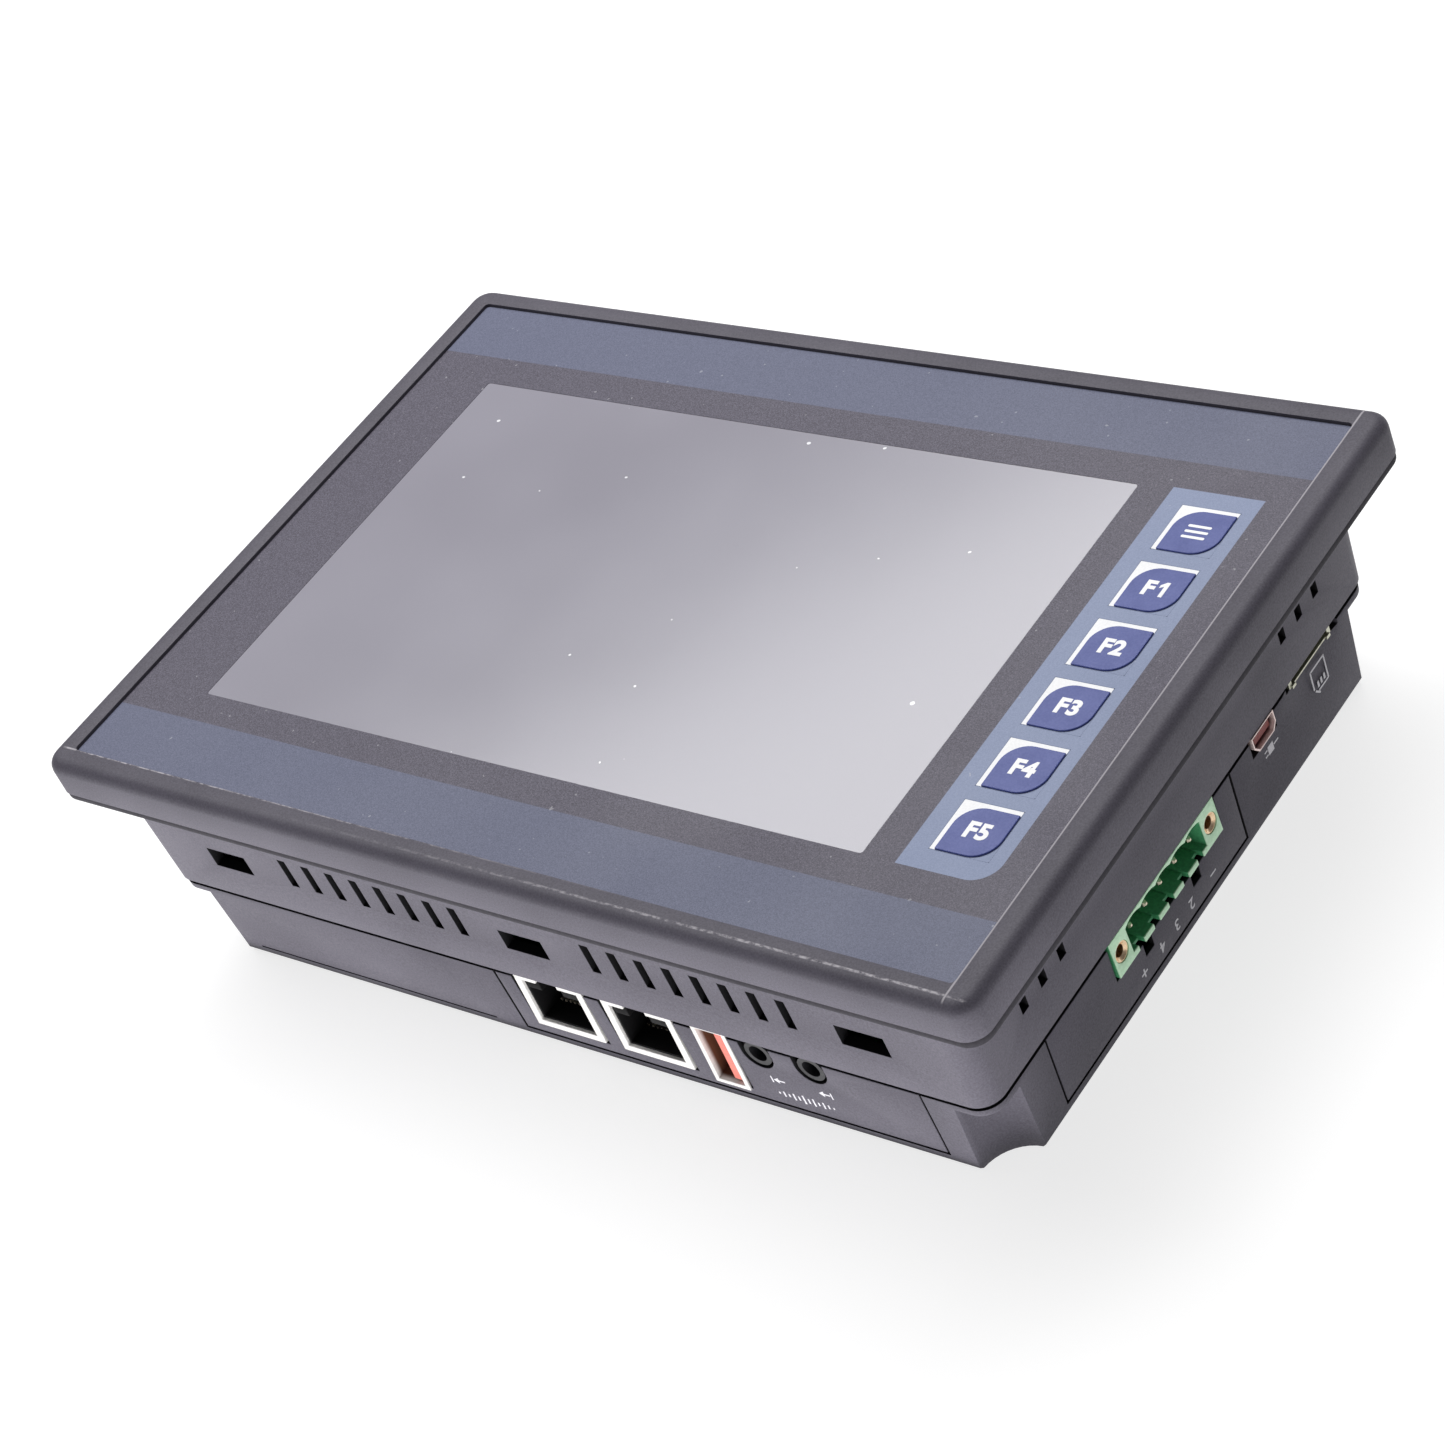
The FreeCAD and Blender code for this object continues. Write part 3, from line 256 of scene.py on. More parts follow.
def case_material(name, rubbed_and_highlit=False):
    """Fine-textured dark grey moulding; the bezel also has pale rub lines, partly wear and partly painted
    highlight, along its lower front edge and on the rim below the overlay, and a painted highlight on the rim
    right of the overlay.
    """
    n = Nodes(name)
    fine = n.noise(0.00035, 3.0, 0.65)
    slow = n.noise(0.02, 2.0)
    tone = n.math("ADD", n.math("MULTIPLY", fine, 0.7), n.math("MULTIPLY", slow, 0.3))
    colour = n.ramp(tone, [(0.34, CASE_DARK), (0.66, CASE_LIGHT)])
    # Pale lines on the bezel front, partly wear and partly painted highlight; the line right of the overlay
    # is painted highlight only.
    if rubbed_and_highlit:
        on_front = n.step(n.z, RIM_Z - 0.5 * MM, RIM_Z - 0.1 * MM)
        patches = n.step(n.noise(0.0010, 3.0, 0.7, (0.6, 1, 1)), 0.36, 0.66)
        outer = between(n, n.y, housing_low.y + 2.25 * MM, housing_low.y + 2.70 * MM, 0.15 * MM)
        outer = n.math("MULTIPLY", outer, n.step(n.x, -60 * MM, 100 * MM))
        inner = between(n, n.y, overlay_low.y - 0.45 * MM, overlay_low.y - 0.10 * MM, 0.1 * MM)
        inner = n.math("MULTIPLY", inner, n.step(n.x, 60 * MM, -100 * MM))
        # Painted highlight on the rim's inner edge right of the overlay, not broken by the patches.
        side = between(n, n.x, overlay_high.x + 0.15 * MM, overlay_high.x + 0.50 * MM, 0.1 * MM)
        lines = n.math("MULTIPLY", n.math("MAXIMUM", outer, inner), patches)
        lines = n.math("MULTIPLY", n.math("MAXIMUM", lines, n.math("MULTIPLY", side, 0.75)), on_front)
        colour = n.mix(lines, colour, RUB_AND_HIGHLIGHT)
    n.set(colour=colour, rough=n.ramp(tone, [(0.3, 0.60), (0.7, 0.48)]), spec=0.25)
    n.bump(fine, 0.35, 0.00006)
    return n.material


def overlay_material():
    """Printed film: speckled dark grey, blue-grey bands, light blue strip under the keys."""
    n = Nodes("overlay_print")
    first_low, first_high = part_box(KEYS[0])
    last_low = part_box(KEYS[-1])[0]
    band_depth = 14.2 * MM
    strip_left = first_low.x - 4.0 * MM
    strip_right = first_high.x + 2.75 * MM
    strip_top = first_high.y + 3.9 * MM
    strip_bottom = last_low.y - 4.4 * MM
    corner = 5.0 * MM

    speck = n.noise(0.00022, 2.0, 0.7)
    slow = n.noise(0.03, 2.0)
    grey = n.ramp(speck, [(0.32, (0.048, 0.043, 0.059)), (0.55, (0.094, 0.086, 0.117)),
                          (0.72, (0.158, 0.147, 0.185))])
    blue = n.ramp(speck, [(0.32, (0.080, 0.088, 0.138)), (0.70, (0.144, 0.154, 0.228))])
    strip = n.ramp(speck, [(0.32, (0.192, 0.230, 0.348)), (0.70, (0.250, 0.292, 0.428))])

    top_band = n.step(n.y, overlay_high.y - band_depth - 0.1 * MM,
                      overlay_high.y - band_depth + 0.1 * MM)
    low_band = n.step(n.y, overlay_low.y + band_depth - 0.7 * MM, overlay_low.y + band_depth - 0.9 * MM)
    bands = n.math("MAXIMUM", top_band, low_band)
    in_strip = n.math("MULTIPLY", between(n, n.x, strip_left, strip_right),
                      between(n, n.y, strip_bottom, strip_top))
    past_x = n.math("MAXIMUM", n.math("SUBTRACT", n.x, strip_right - corner), 0.0)
    past_y = n.math("MAXIMUM", n.math("SUBTRACT", strip_bottom + corner, n.y), 0.0)
    reach = n.math("SQRT", n.math("ADD", n.math("MULTIPLY", past_x, past_x),
                                  n.math("MULTIPLY", past_y, past_y)))
    in_strip = n.math("MULTIPLY", in_strip, n.step(reach, corner + 0.08 * MM, corner - 0.08 * MM))

    colour = n.mix(bands, grey, blue)
    colour = n.mix(in_strip, colour, strip)
    fleck = n.math("MULTIPLY", n.step(n.noise(0.0014, 1.0), 0.765, 0.785), 0.3)
    colour = n.mix(fleck, colour, (0.55, 0.55, 0.58))
    n.set(colour=colour, rough=n.ramp(slow, [(0.35, 0.40), (0.65, 0.50)]), spec=0.25)
    n.bump(speck, 0.16, 0.00003)
    return n.material


def window_material():
    """Anti-glare window: pale violet grey haze with a fine sparkle and a few dust specks."""
    n = Nodes("window_film")
    sparkle = n.noise(0.00012, 1.0)
    cloud = n.noise(0.05, 2.0)
    tone = n.math("ADD", n.math("MULTIPLY", sparkle, 0.5), n.math("MULTIPLY", cloud, 0.5))
    haze = n.ramp(tone, [(0.35, (0.252, 0.242, 0.284)), (0.65, (0.284, 0.274, 0.320))])
    dust = n.step(n.noise(0.0018, 0.0), 0.87, 0.88)
    n.set(colour=n.mix(dust, haze, (0.75, 0.75, 0.78)), rough=n.ramp(cloud, [(0.3, 0.16), (0.7, 0.19)]),
          spec=0.78)
    n.bump(sparkle, 0.05, 0.00001)
    return n.material


def header_material():
    """Green terminal plastic, deep green, with a painted highlight that makes its front face and edges pale.
    """
    n = Nodes("header_green")
    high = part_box("terminal_header")[1]
    fine = n.noise(0.0006, 3.0)
    deep = n.ramp(fine, [(0.3, (0.055, 0.270, 0.120)), (0.7, (0.085, 0.380, 0.170))])
    rim = n.ramp(fine, [(0.3, (0.48, 0.76, 0.50)), (0.7, (0.60, 0.86, 0.62))])
    # Painted highlight: pale green on the front face and within 0.3 mm of it.
    mouth = n.step(n.x, high.x - 0.30 * MM, high.x - 0.10 * MM)
    n.set(colour=n.mix(mouth, deep, rim), rough=n.ramp(fine, [(0.3, 0.32), (0.7, 0.42)]), spec=0.5)
    n.bump(fine, 0.1, 0.00003)
    return n.material


def shield_material(name, depth, light=(0.90, 0.88, 0.86), dark=(0.10, 0.095, 0.09)):
    """Plated shell that is bright at its mouth, with painted shade making it dark further in; depth is how
    far in a point is.
    """
    n = Nodes(name)
    lines = n.noise(0.003, 3.0, 0.6, (1, 1, 20))
    # Painted shade: from 0.4 to 1.5 mm behind the mouth the plating turns to the dark colour.
    inner_shade = n.step(depth(n), 0.4 * MM, 1.5 * MM)
    bright = n.ramp(lines, [(0.3, tuple(0.85 * c for c in light)), (0.7, light)])
    n.set(colour=n.mix(inner_shade, bright, dark), rough=n.ramp(lines, [(0.35, 0.28), (0.65, 0.45)]),
          metal=0.6)
    n.bump(lines, 0.12, 0.00002)
    return n.material


def behind_low_wall(node):
    """Depth behind the mouth of a port in the lower wall."""
    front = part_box(node)[0].y
    return lambda n: n.math("SUBTRACT", n.y, front)


def behind_right_wall(node):
    """Depth behind the mouth of a port in the right wall."""
    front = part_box(node)[1].x
    return lambda n: n.math("SUBTRACT", front, n.x)


def board_material():
    """Green solder mask over faint tracks."""
    n = Nodes("board_green")
    tracks = n.step(n.noise(0.004, 0.0, 0.5, (1, 4, 1)), 0.50, 0.53)
    mask = n.ramp(n.noise(0.01, 2.0), [(0.3, (0.006, 0.060, 0.020)), (0.7, (0.010, 0.090, 0.030))])
    n.set(colour=n.mix(tracks, mask, (0.02, 0.14, 0.05)),
          rough=n.ramp(n.noise(0.005), [(0.3, 0.25), (0.7, 0.4)]))
    n.bump(tracks, 0.2, 0.00003)
    return n.material


def glass_material():
    """Clear touch glass with a faint film of prints."""
    n = Nodes("touch_glass")
    smear = n.noise(0.01, 3.0)
    n.set(colour=n.ramp(smear, [(0.3, (0.75, 0.80, 0.80)), (0.7, (0.82, 0.86, 0.86))]),
          rough=n.ramp(smear, [(0.3, 0.05), (0.7, 0.15)]), alpha=0.35)
    return n.material


MATERIALS = {
    "front_plastic": case_material("front_plastic", True),
    "rear_plastic": case_material("rear_plastic"),
    "plate_plastic": case_material("plate_plastic"),
    "gasket_rubber": grained("gasket_rubber", (0.026, 0.024, 0.030), (0.037, 0.034, 0.042), 0.0006,
                             (0.6, 0.8), spec=0.2),
    "overlay_print": overlay_material(),
    "window_film": window_material(),
    "board_green": board_material(),
    "switch_metal": brushed("switch_metal", (0.45, 0.45, 0.46), (0.65, 0.65, 0.66)),
    "touch_glass": glass_material(),
    "seal_adhesive": grained("seal_adhesive", (0.01, 0.01, 0.01), (0.03, 0.03, 0.03), 0.0008),
    "lcd_metal": brushed("lcd_metal", (0.40, 0.40, 0.41), (0.58, 0.58, 0.60), (30, 1, 30)),
    "lcd_cell": grained("lcd_cell", (0.02, 0.02, 0.03), (0.04, 0.04, 0.05), 0.0008, (0.1, 0.2), 0.02),
    "light_guide": grained("light_guide", (0.70, 0.70, 0.70), (0.82, 0.82, 0.82), 0.0008, (0.3, 0.5), 0.05),
    "screw_steel": brushed("screw_steel", (0.40, 0.40, 0.40), (0.62, 0.61, 0.60), (20, 20, 1)),
    "flex_film": grained("flex_film", (0.32, 0.13, 0.02), (0.48, 0.22, 0.04), 0.001, (0.25, 0.4), 0.05),
    "chip_black": grained("chip_black", (0.010, 0.010, 0.011), (0.022, 0.022, 0.023), 0.0002, (0.5, 0.65)),
    "capacitor_can": brushed("capacitor_can", (0.50, 0.50, 0.52), (0.70, 0.70, 0.72), (30, 30, 1)),
    "coil_ferrite": grained("coil_ferrite", (0.03, 0.03, 0.03), (0.06, 0.06, 0.06), 0.0004, (0.6, 0.75)),
    "holder_black": grained("holder_black", (0.012, 0.012, 0.012), (0.025, 0.025, 0.025), 0.0004),
    "cell_steel": brushed("cell_steel", (0.50, 0.50, 0.50), (0.72, 0.72, 0.72), (30, 1, 30)),
    "jack_shield": shield_material("jack_shield", behind_low_wall("ethernet_shell_1")),
    "jack_core": grained("jack_core", (0.003, 0.003, 0.0035), (0.007, 0.0065, 0.007), 0.0005, (0.4, 0.55),
                         spec=0.1),
    "contact_gold": brushed("contact_gold", (0.72, 0.60, 0.45), (0.92, 0.82, 0.68), (20, 1, 20)),
    # Host shell: its painted shade is tinted brown as a painted reflection.
    "usb_shield": shield_material("usb_shield", behind_low_wall("usb_host_shell"), dark=(0.16, 0.07, 0.04)),
    "usb_core_red": grained("usb_core_red", (0.50, 0.10, 0.075), (0.66, 0.17, 0.13), 0.0006, (0.35, 0.5)),
    "usb_device_core": grained("usb_device_core", (0.17, 0.022, 0.020), (0.27, 0.045, 0.035), 0.0005,
                               (0.3, 0.45)),
    "audio_black": grained("audio_black", (0.012, 0.012, 0.014), (0.028, 0.027, 0.030), 0.0005, (0.28, 0.42)),
    "card_metal": brushed("card_metal", (0.42, 0.42, 0.34), (0.62, 0.62, 0.52), (1, 20, 1), (0.35, 0.5)),
    "header_green": header_material(),
    "insert_brass": brushed("insert_brass", (0.80, 0.52, 0.30), (0.98, 0.78, 0.55), (1, 20, 20), (0.25, 0.4)),
}
KEY_BLUE = grained("key_blue", (0.050, 0.068, 0.245), (0.076, 0.098, 0.315), 0.0004, (0.34, 0.46), 0.12,
                   0.00003, blotch=0.004, spec=0.3)
KEY_PLATE = grained("key_plate", (0.192, 0.230, 0.348), (0.250, 0.292, 0.428), 0.0004, (0.4, 0.5),
                    0.12, 0.00002, spec=0.25)
KEY_WHITE = grained("key_white", (0.74, 0.74, 0.75), (0.88, 0.88, 0.89), 0.0004, (0.4, 0.5), 0.08, 0.00002)
PRINT_WHITE = grained("print_white", (0.78, 0.78, 0.79), (0.92, 0.92, 0.93), 0.0003, (0.4, 0.5),
                      0.05, 0.00002)
PRINT_GREY = grained("print_grey", (0.46, 0.45, 0.48), (0.66, 0.65, 0.69), 0.0003, (0.5, 0.6), 0.05, 0.00002)
DEEP_SHADE = grained("deep_shade", (0.007, 0.007, 0.008), (0.013, 0.012, 0.014), 0.0006, (0.6, 0.8), spec=0.2)
# Device shell: pinkish at its mouth, with painted shade tinted dark red further in.
USB_RIM = shield_material("usb_device_rim", behind_right_wall("usb_device_shell"), (0.88, 0.72, 0.69),
                          (0.14, 0.02, 0.02))

for part in record["subparts"]:
    if part["material_slot"] in MATERIALS:
        for material_slot in nodes[part["node"]].material_slots:
            material_slot.material = MATERIALS[part["material_slot"]]


# ---------------------------------------------------------------- mesh helpers
def new_piece(name, mesh, material, body):
    """Put a mesh in the scene as a piece of the object."""
    mesh.materials.clear()
    mesh.materials.append(material)
    piece = bpy.data.objects.new(name, mesh)
    bpy.context.scene.collection.objects.link(piece)
    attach(piece, body)
    return piece


def smooth_by_angle(mesh, degrees):
    """Smooth shading, with edges sharper than the angle kept hard."""
    for face in mesh.polygons:
        face.use_smooth = True
    mesh.set_sharp_from_angle(angle=math.radians(degrees))


def is_inside(face, half_x, half_y):
    """Whether a face of a shell lies behind the outer skin, in a port, vent, slot or seam."""
    middle = face.center
    x_depth = half_x - abs(middle.x)
    y_depth = half_y - abs(middle.y)
    in_hollow = x_depth < CORNER_HOLLOW and y_depth < CORNER_HOLLOW
    if in_hollow and middle.z < REAR_TOP - LEVEL_SLACK:
        return False
    if x_depth < y_depth:
        outward = Vector((math.copysign(1, middle.x), 0))
    else:
        outward = Vector((0, math.copysign(1, middle.y)))
    depth = min(x_depth, y_depth)
    if x_depth < WALL_CORNER and y_depth < WALL_CORNER:
        spoke = Vector((WALL_CORNER - x_depth, WALL_CORNER - y_depth))
        depth = WALL_CORNER - spoke.length
        outward = Vector((math.copysign(spoke.x, middle.x), math.copysign(spoke.y, middle.y))).normalized()
    facing = face.normal.xy.dot(outward)
    return depth > SKIN_DEPTH and (facing < 0.5 or depth > PORT_DEPTH)


def shade_inside(mesh):
    """Give the deep shade to the faces that lie behind the outer skin."""
    mesh.materials.append(DEEP_SHADE)
    for face in mesh.polygons:
        z = face.center.z
        if z < BACK_BAND or z > FLANGE_BACK - LEVEL_SLACK:
            continue
        if z > REAR_TOP + SEAM_SPLIT:
            inward = FRONT_DRAFT * (WALL_FOOT - z)
            half_x, half_y = FRONT_HALF[0] - inward, FRONT_HALF[1] - inward
        else:
            inward = REAR_DRAFT * (REAR_TOP - z)
            half_x, half_y = REAR_HALF[0] - inward, REAR_HALF[1] - inward
        if is_inside(face, half_x, half_y):
            face.material_index = 1


def softened(node, width, name, degrees=35, segments=2, material=None):
    """Copy of a CAD node with its sharp edges rounded; it replaces the node."""
    source = nodes[node]
    work = bmesh.new()
    work.from_mesh(source.data)
    bmesh.ops.remove_doubles(work, verts=work.verts, dist=1e-6)
    bmesh.ops.dissolve_limit(work, angle_limit=math.radians(1.0), verts=work.verts, edges=work.edges)
    limit = math.radians(degrees)
    sharp = [e for e in work.edges if len(e.link_faces) == 2 and e.calc_face_angle(0.0) > limit]
    bmesh.ops.bevel(work, geom=sharp, offset=width, offset_type="OFFSET", segments=segments, profile=0.5,
                    affect="EDGES", clamp_overlap=True, harden_normals=False)
    bmesh.ops.triangulate(work, faces=[f for f in work.faces if len(f.verts) > 4])
    mesh = bpy.data.meshes.new(name)
    work.to_mesh(mesh)
    work.free()
    smooth_by_angle(mesh, 30)
    slot = next(p["material_slot"] for p in record["subparts"] if p["node"] == node)
    piece = new_piece(name, mesh, material or MATERIALS[slot], source["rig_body"])
    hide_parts(node)
    return piece


def rounded_corners(x0, x1, y0, y1, radii, steps=10):
    """Outline of a rectangle; radii run from the lower-left corner anticlockwise."""
    spots = [(x0, y0, 1, 1, 180), (x1, y0, -1, 1, 270), (x1, y1, -1, -1, 0), (x0, y1, 1, -1, 90)]
    points = []
    for (x, y, in_x, in_y, start), radius in zip(spots, radii):
        count = steps if radius > 1.0 * MM else 3
        for step in range(count + 1):
            angle = math.radians(start + 90.0 * step / count)
            points.append((x + in_x * radius + radius * math.cos(angle),
                           y + in_y * radius + radius * math.sin(angle)))
    return points


def raised_shape(name, outline, z_low, z_high, edge, segments=3):
    """Mesh of an upright prism with its upper edge rounded."""
    work = bmesh.new()
    base = [work.verts.new((x, y, z_low)) for x, y in outline]
    face = work.faces.new(base)
    lifted = bmesh.ops.extrude_face_region(work, geom=[face])
    top = [v for v in lifted["geom"] if isinstance(v, bmesh.types.BMVert)]
    bmesh.ops.translate(work, verts=top, vec=(0, 0, z_high - z_low))
    bmesh.ops.recalc_face_normals(work, faces=work.faces)
    rim = [e for e in work.edges if all(v in top for v in e.verts)]
    bmesh.ops.bevel(work, geom=rim, offset=edge, segments=segments, profile=0.5, affect="EDGES",
                    clamp_overlap=True)
    mesh = bpy.data.meshes.new(name)
    work.to_mesh(mesh)
    work.free()
    smooth_by_angle(mesh, 40)
    for face in mesh.polygons:
        face.use_smooth = abs(face.normal.z) < 0.99
    return mesh


def joined_mesh(name, meshes):
    """One mesh from several."""
    work = bmesh.new()
    for mesh in meshes:
        work.from_mesh(mesh)
    joined = bpy.data.meshes.new(name)
    work.to_mesh(joined)
    work.free()
    return joined


CAPITAL_SHARE = 0.7  # height of a capital as a share of the font size
LETTER_SPACING = 1.08


def lettering(name, text, height, thickness, bold):
    """Mesh of a short generic legend, centred on the origin in the XY plane."""
    curve = bpy.data.curves.new(name, "FONT")
    curve.body = text
    curve.size = height / CAPITAL_SHARE
    curve.extrude = thickness / 2
    curve.offset = bold
    curve.align_x = "CENTER"
    curve.align_y = "CENTER"
    curve.space_character = LETTER_SPACING
    holder = bpy.data.objects.new(name, curve)
    bpy.context.scene.collection.objects.link(holder)
    bpy.context.view_layer.update()
    mesh = bpy.data.meshes.new_from_object(holder)
    bpy.data.objects.remove(holder)
    return mesh


# ---------------------------------------------------------------- keys
def prism(name, outline, thickness):
    """Flat print of one outline, centred on z = 0, with a slightly eased edge."""
    return raised_shape(name, outline, -thickness / 2, thickness / 2, EASE, 1)


def numeral_one(height):
    """Outline of a 1 with a flag, starting at the origin."""
    spots = [(0.22, 0.0), (0.22, 0.70), (0.0, 0.56), (0.0, 0.77), (0.26, 1.0), (0.44, 1.0), (0.44, 0.0)]
    return [(x * height, y * height) for x, y in spots]


def legend(name, text, height, thickness, bold):
    """Mesh of a key's letter and number; a 1 is drawn as an outline. Centred on the origin along X."""
    letter = lettering(name, text if text[1] != "1" else text[0], height, thickness, bold)
    if text[1] != "1":
        return letter
    reach = max(v.co.x for v in letter.vertices)
    foot = min(v.co.y for v in letter.vertices)
    tall = max(v.co.y for v in letter.vertices) - foot
    one = prism(name, [(x + reach + 0.20 * height, y + foot) for x, y in numeral_one(tall)], thickness)
    both = joined_mesh(name, [letter, one])
    shift = (max(v.co.x for v in both.vertices) + min(v.co.x for v in both.vertices)) / 2
    for vertex in both.vertices:
        vertex.co.x -= shift
    return both


def make_key_pieces(name):
    """Square plate, white corner print, raised blue leaf and legend of one key."""
    low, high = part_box(name)
    white_edge = 1.3 * MM
    white_cut = 5.5 * MM
    leaf_round = 4.6 * MM
    crisp = 0.25 * MM
    grow = 0.1 * MM
    stem_radius = 2.2 * MM
    leaf_gap = 0.95 * MM
    leaf_rise = 0.6
    outline = rounded_corners(low.x - grow, high.x + grow, low.y - grow, high.y + grow, [crisp] * 4)
    plate = raised_shape(name + "_plate", outline, FACE_Z - 0.6 * MM, FACE_Z, 0.03 * MM)
    stem_middle = Vector(((low.x + high.x) / 2, (low.y + high.y) / 2))
    ring = [(stem_middle.x + stem_radius * math.cos(a), stem_middle.y + stem_radius * math.sin(a))
            for a in [math.radians(15 * step) for step in range(24)]]
    stem = raised_shape(name + "_stem", ring, low.z, FACE_Z - 0.55 * MM, 0.05 * MM)
    base = new_piece(name + "_base", joined_mesh(name + "_base", [plate, stem]), KEY_PLATE, name)
    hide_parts(name)

    corner = [(low.x, low.y), (low.x + white_edge, low.y), (low.x + white_edge, high.y - white_cut),
              (low.x + white_cut, high.y - white_edge), (high.x, high.y - white_edge), (high.x, high.y),
              (low.x, high.y)]
    print_mesh = raised_shape(name + "_corner", corner, FACE_Z - 0.05 * MM, FACE_Z + 0.03 * MM, EASE, 1)
    new_piece(name + "_corner", print_mesh, KEY_WHITE, name)

    leaf_left = low.x + leaf_gap
    leaf_top = high.y - leaf_gap
    leaf_outline = rounded_corners(leaf_left, high.x, low.y, leaf_top, [crisp, leaf_round, crisp, leaf_round])
    leaf_z = FACE_Z + leaf_rise * (high.z - FACE_Z)
    leaf = raised_shape(name + "_leaf", leaf_outline, FACE_Z - 0.1 * MM, leaf_z, 0.2 * MM, 4)
    new_piece(name + "_leaf", leaf, KEY_BLUE, name)

    middle = Vector(((leaf_left + high.x) / 2, (low.y + leaf_top) / 2, leaf_z))
    thickness = 0.05 * MM
    if name == "key_menu":
        bars = []
        half_bar, half_line, bar_round = 2.3 * MM, 0.3 * MM, 0.28 * MM
        for step in (-1, 0, 1):
            y = step * 1.35 * MM
            outline = rounded_corners(-half_bar, half_bar, y - half_line, y + half_line, [bar_round] * 4)
            bars.append(prism("bar", outline, thickness))
        mark = joined_mesh(name + "_mark", bars)
    else:
        mark = legend(name + "_mark", name[-2:].upper(), 3.25 * MM, thickness, 0.20 * MM)
    for vertex in mark.vertices:
        vertex.co += middle
    new_piece(name + "_mark", mark, PRINT_WHITE, name)


for key in KEYS:
    make_key_pieces(key)

# ---------------------------------------------------------------- shells with softened edges
for node, name, width in (("front_housing", "front_shell", 0.22 * MM),
                          ("rear_housing", "rear_shell", 0.22 * MM),
                          ("bottom_port_plate", "bottom_plate", 0.12 * MM),
                          ("side_port_plate", "side_plate", 0.12 * MM)):
    shade_inside(softened(node, width, name).data)
softened("panel_gasket", 0.3 * MM, "flange_seal")
softened("terminal_header", 0.12 * MM, "header_body")
for number in (1, 2):
    softened("ethernet_shell_%d" % number, 0.15 * MM, "network_shield_%d" % number)
    softened("ethernet_insert_%d" % number, 0.10 * MM, "network_core_%d" % number)
softened("usb_host_shell", 0.10 * MM, "host_shell")
softened("usb_device_shell", 0.08 * MM, "device_shell", material=USB_RIM)


# ---------------------------------------------------------------- brass bushes beside the terminals
def lathe(profile, middle, steps=32):
    """Mesh of a closed profile of (radius, x) turned about an axis along X."""
    work = bmesh.new()
    rings = []
    for step in range(steps):
        angle = 2 * math.pi * step / steps
        across, up = math.cos(angle), math.sin(angle)
        rings.append([work.verts.new((x, middle.y + radius * across, middle.z + radius * up))
                      for radius, x in profile])
    for step in range(steps):
        here, there = rings[step], rings[(step + 1) % steps]
        for index in range(len(profile)):
            after = (index + 1) % len(profile)
            work.faces.new((here[index], here[after], there[after], there[index]))
    bmesh.ops.recalc_face_normals(work, faces=work.faces)
    mesh = bpy.data.meshes.new("bush")
    work.to_mesh(mesh)
    work.free()
    return mesh


def make_bushes():
    """Two countersunk brass bushes that take the plug's screws."""
    low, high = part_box("terminal_inserts")
    outer = (high.z - low.z) / 2
    bore, mouth, sink = 1.15 * MM, 1.7 * MM, 0.45 * MM
    profile = [(outer, low.x), (outer, high.x - 0.1 * MM), (outer - 0.1 * MM, high.x), (mouth, high.x),
               (bore, high.x - sink), (bore, low.x)]
    meshes = []
    for y in (low.y + outer, high.y - outer):
        meshes.append(lathe(profile, Vector((0, y, (low.z + high.z) / 2))))
    mesh = joined_mesh("screw_bushes", meshes)
    smooth_by_angle(mesh, 30)
    piece = new_piece("screw_bushes", mesh, MATERIALS["insert_brass"], nodes["terminal_inserts"]["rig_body"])
    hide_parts("terminal_inserts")


make_bushes()


# ---------------------------------------------------------------- marks printed on the port walls
def rotated(points, degrees):
    """Points turned about the origin."""
    c, s = math.cos(math.radians(degrees)), math.sin(math.radians(degrees))
    return [(x * c - y * s, x * s + y * c) for x, y in points]


def bar_shape(x, y, length, height):
    """Corners of a bar about a middle, in millimetres."""
    return [(x - length / 2, y - height / 2), (x + length / 2, y - height / 2),
            (x + length / 2, y + height / 2), (x - length / 2, y + height / 2)]


def arrow_shapes(pointing_in):
    """An arrow into or out of a stop bar."""
    head = [(0.0, 0.75), (0.0, -0.75), (1.1, 0.0)]
    shift = -0.2 if pointing_in else 0.0
    stop = bar_shape(1.25 if pointing_in else -1.6, 0.0, 0.28, 1.7)
    return [[(x + shift, y) for x, y in head], bar_shape(-0.65 + shift, 0.0, 1.3, 0.35), stop]


def wave_shapes():
    """A row of bars like a sound wave."""
    heights = (0.5, 1.0, 1.7, 0.9, 2.0, 1.3, 2.3, 1.1, 1.8, 0.8, 1.4, 0.5)
    return [bar_shape((index - (len(heights) - 1) / 2) * 1.05, 0.0, 0.34, height)
            for index, height in enumerate(heights)]


def plug_shapes():
    """A cable plug seen from the side."""
    body = [(-0.9, -1.0), (1.0, -1.0), (1.0, 1.0), (-0.9, 1.0)]
    return [body, bar_shape(1.7, 0.55, 1.0, 0.32), bar_shape(1.7, -0.55, 1.0, 0.32),
            bar_shape(-1.9, 0.0, 1.7, 0.35)]


def card_shapes():
    """A memory card with a cut corner and three contacts."""
    edges = [bar_shape(-2.2, 0.0, 0.35, 5.0), bar_shape(2.2, -0.55, 0.35, 3.9),
             bar_shape(0.0, -2.4, 4.6, 0.35), bar_shape(-0.6, 2.4, 3.2, 0.35),
             rotated(bar_shape(2.65, 0.75, 0.35, 1.7), 45)]
    contacts = [bar_shape(x, 1.2, 0.5, 1.2) for x in (-1.2, -0.2, 0.8)]
    return edges + contacts


def wall_print(name, wall, along, z, shapes, scale=1.0, turn=180):
    """Printed mark on the lower or the right port wall, made of outlines in millimetres."""
    flat = [prism(name, rotated([(x * scale * MM, y * scale * MM) for x, y in shape], turn), PRINT_THICKNESS)
            for shape in shapes]
    place_on_wall(name, joined_mesh(name, flat), wall, along, z)


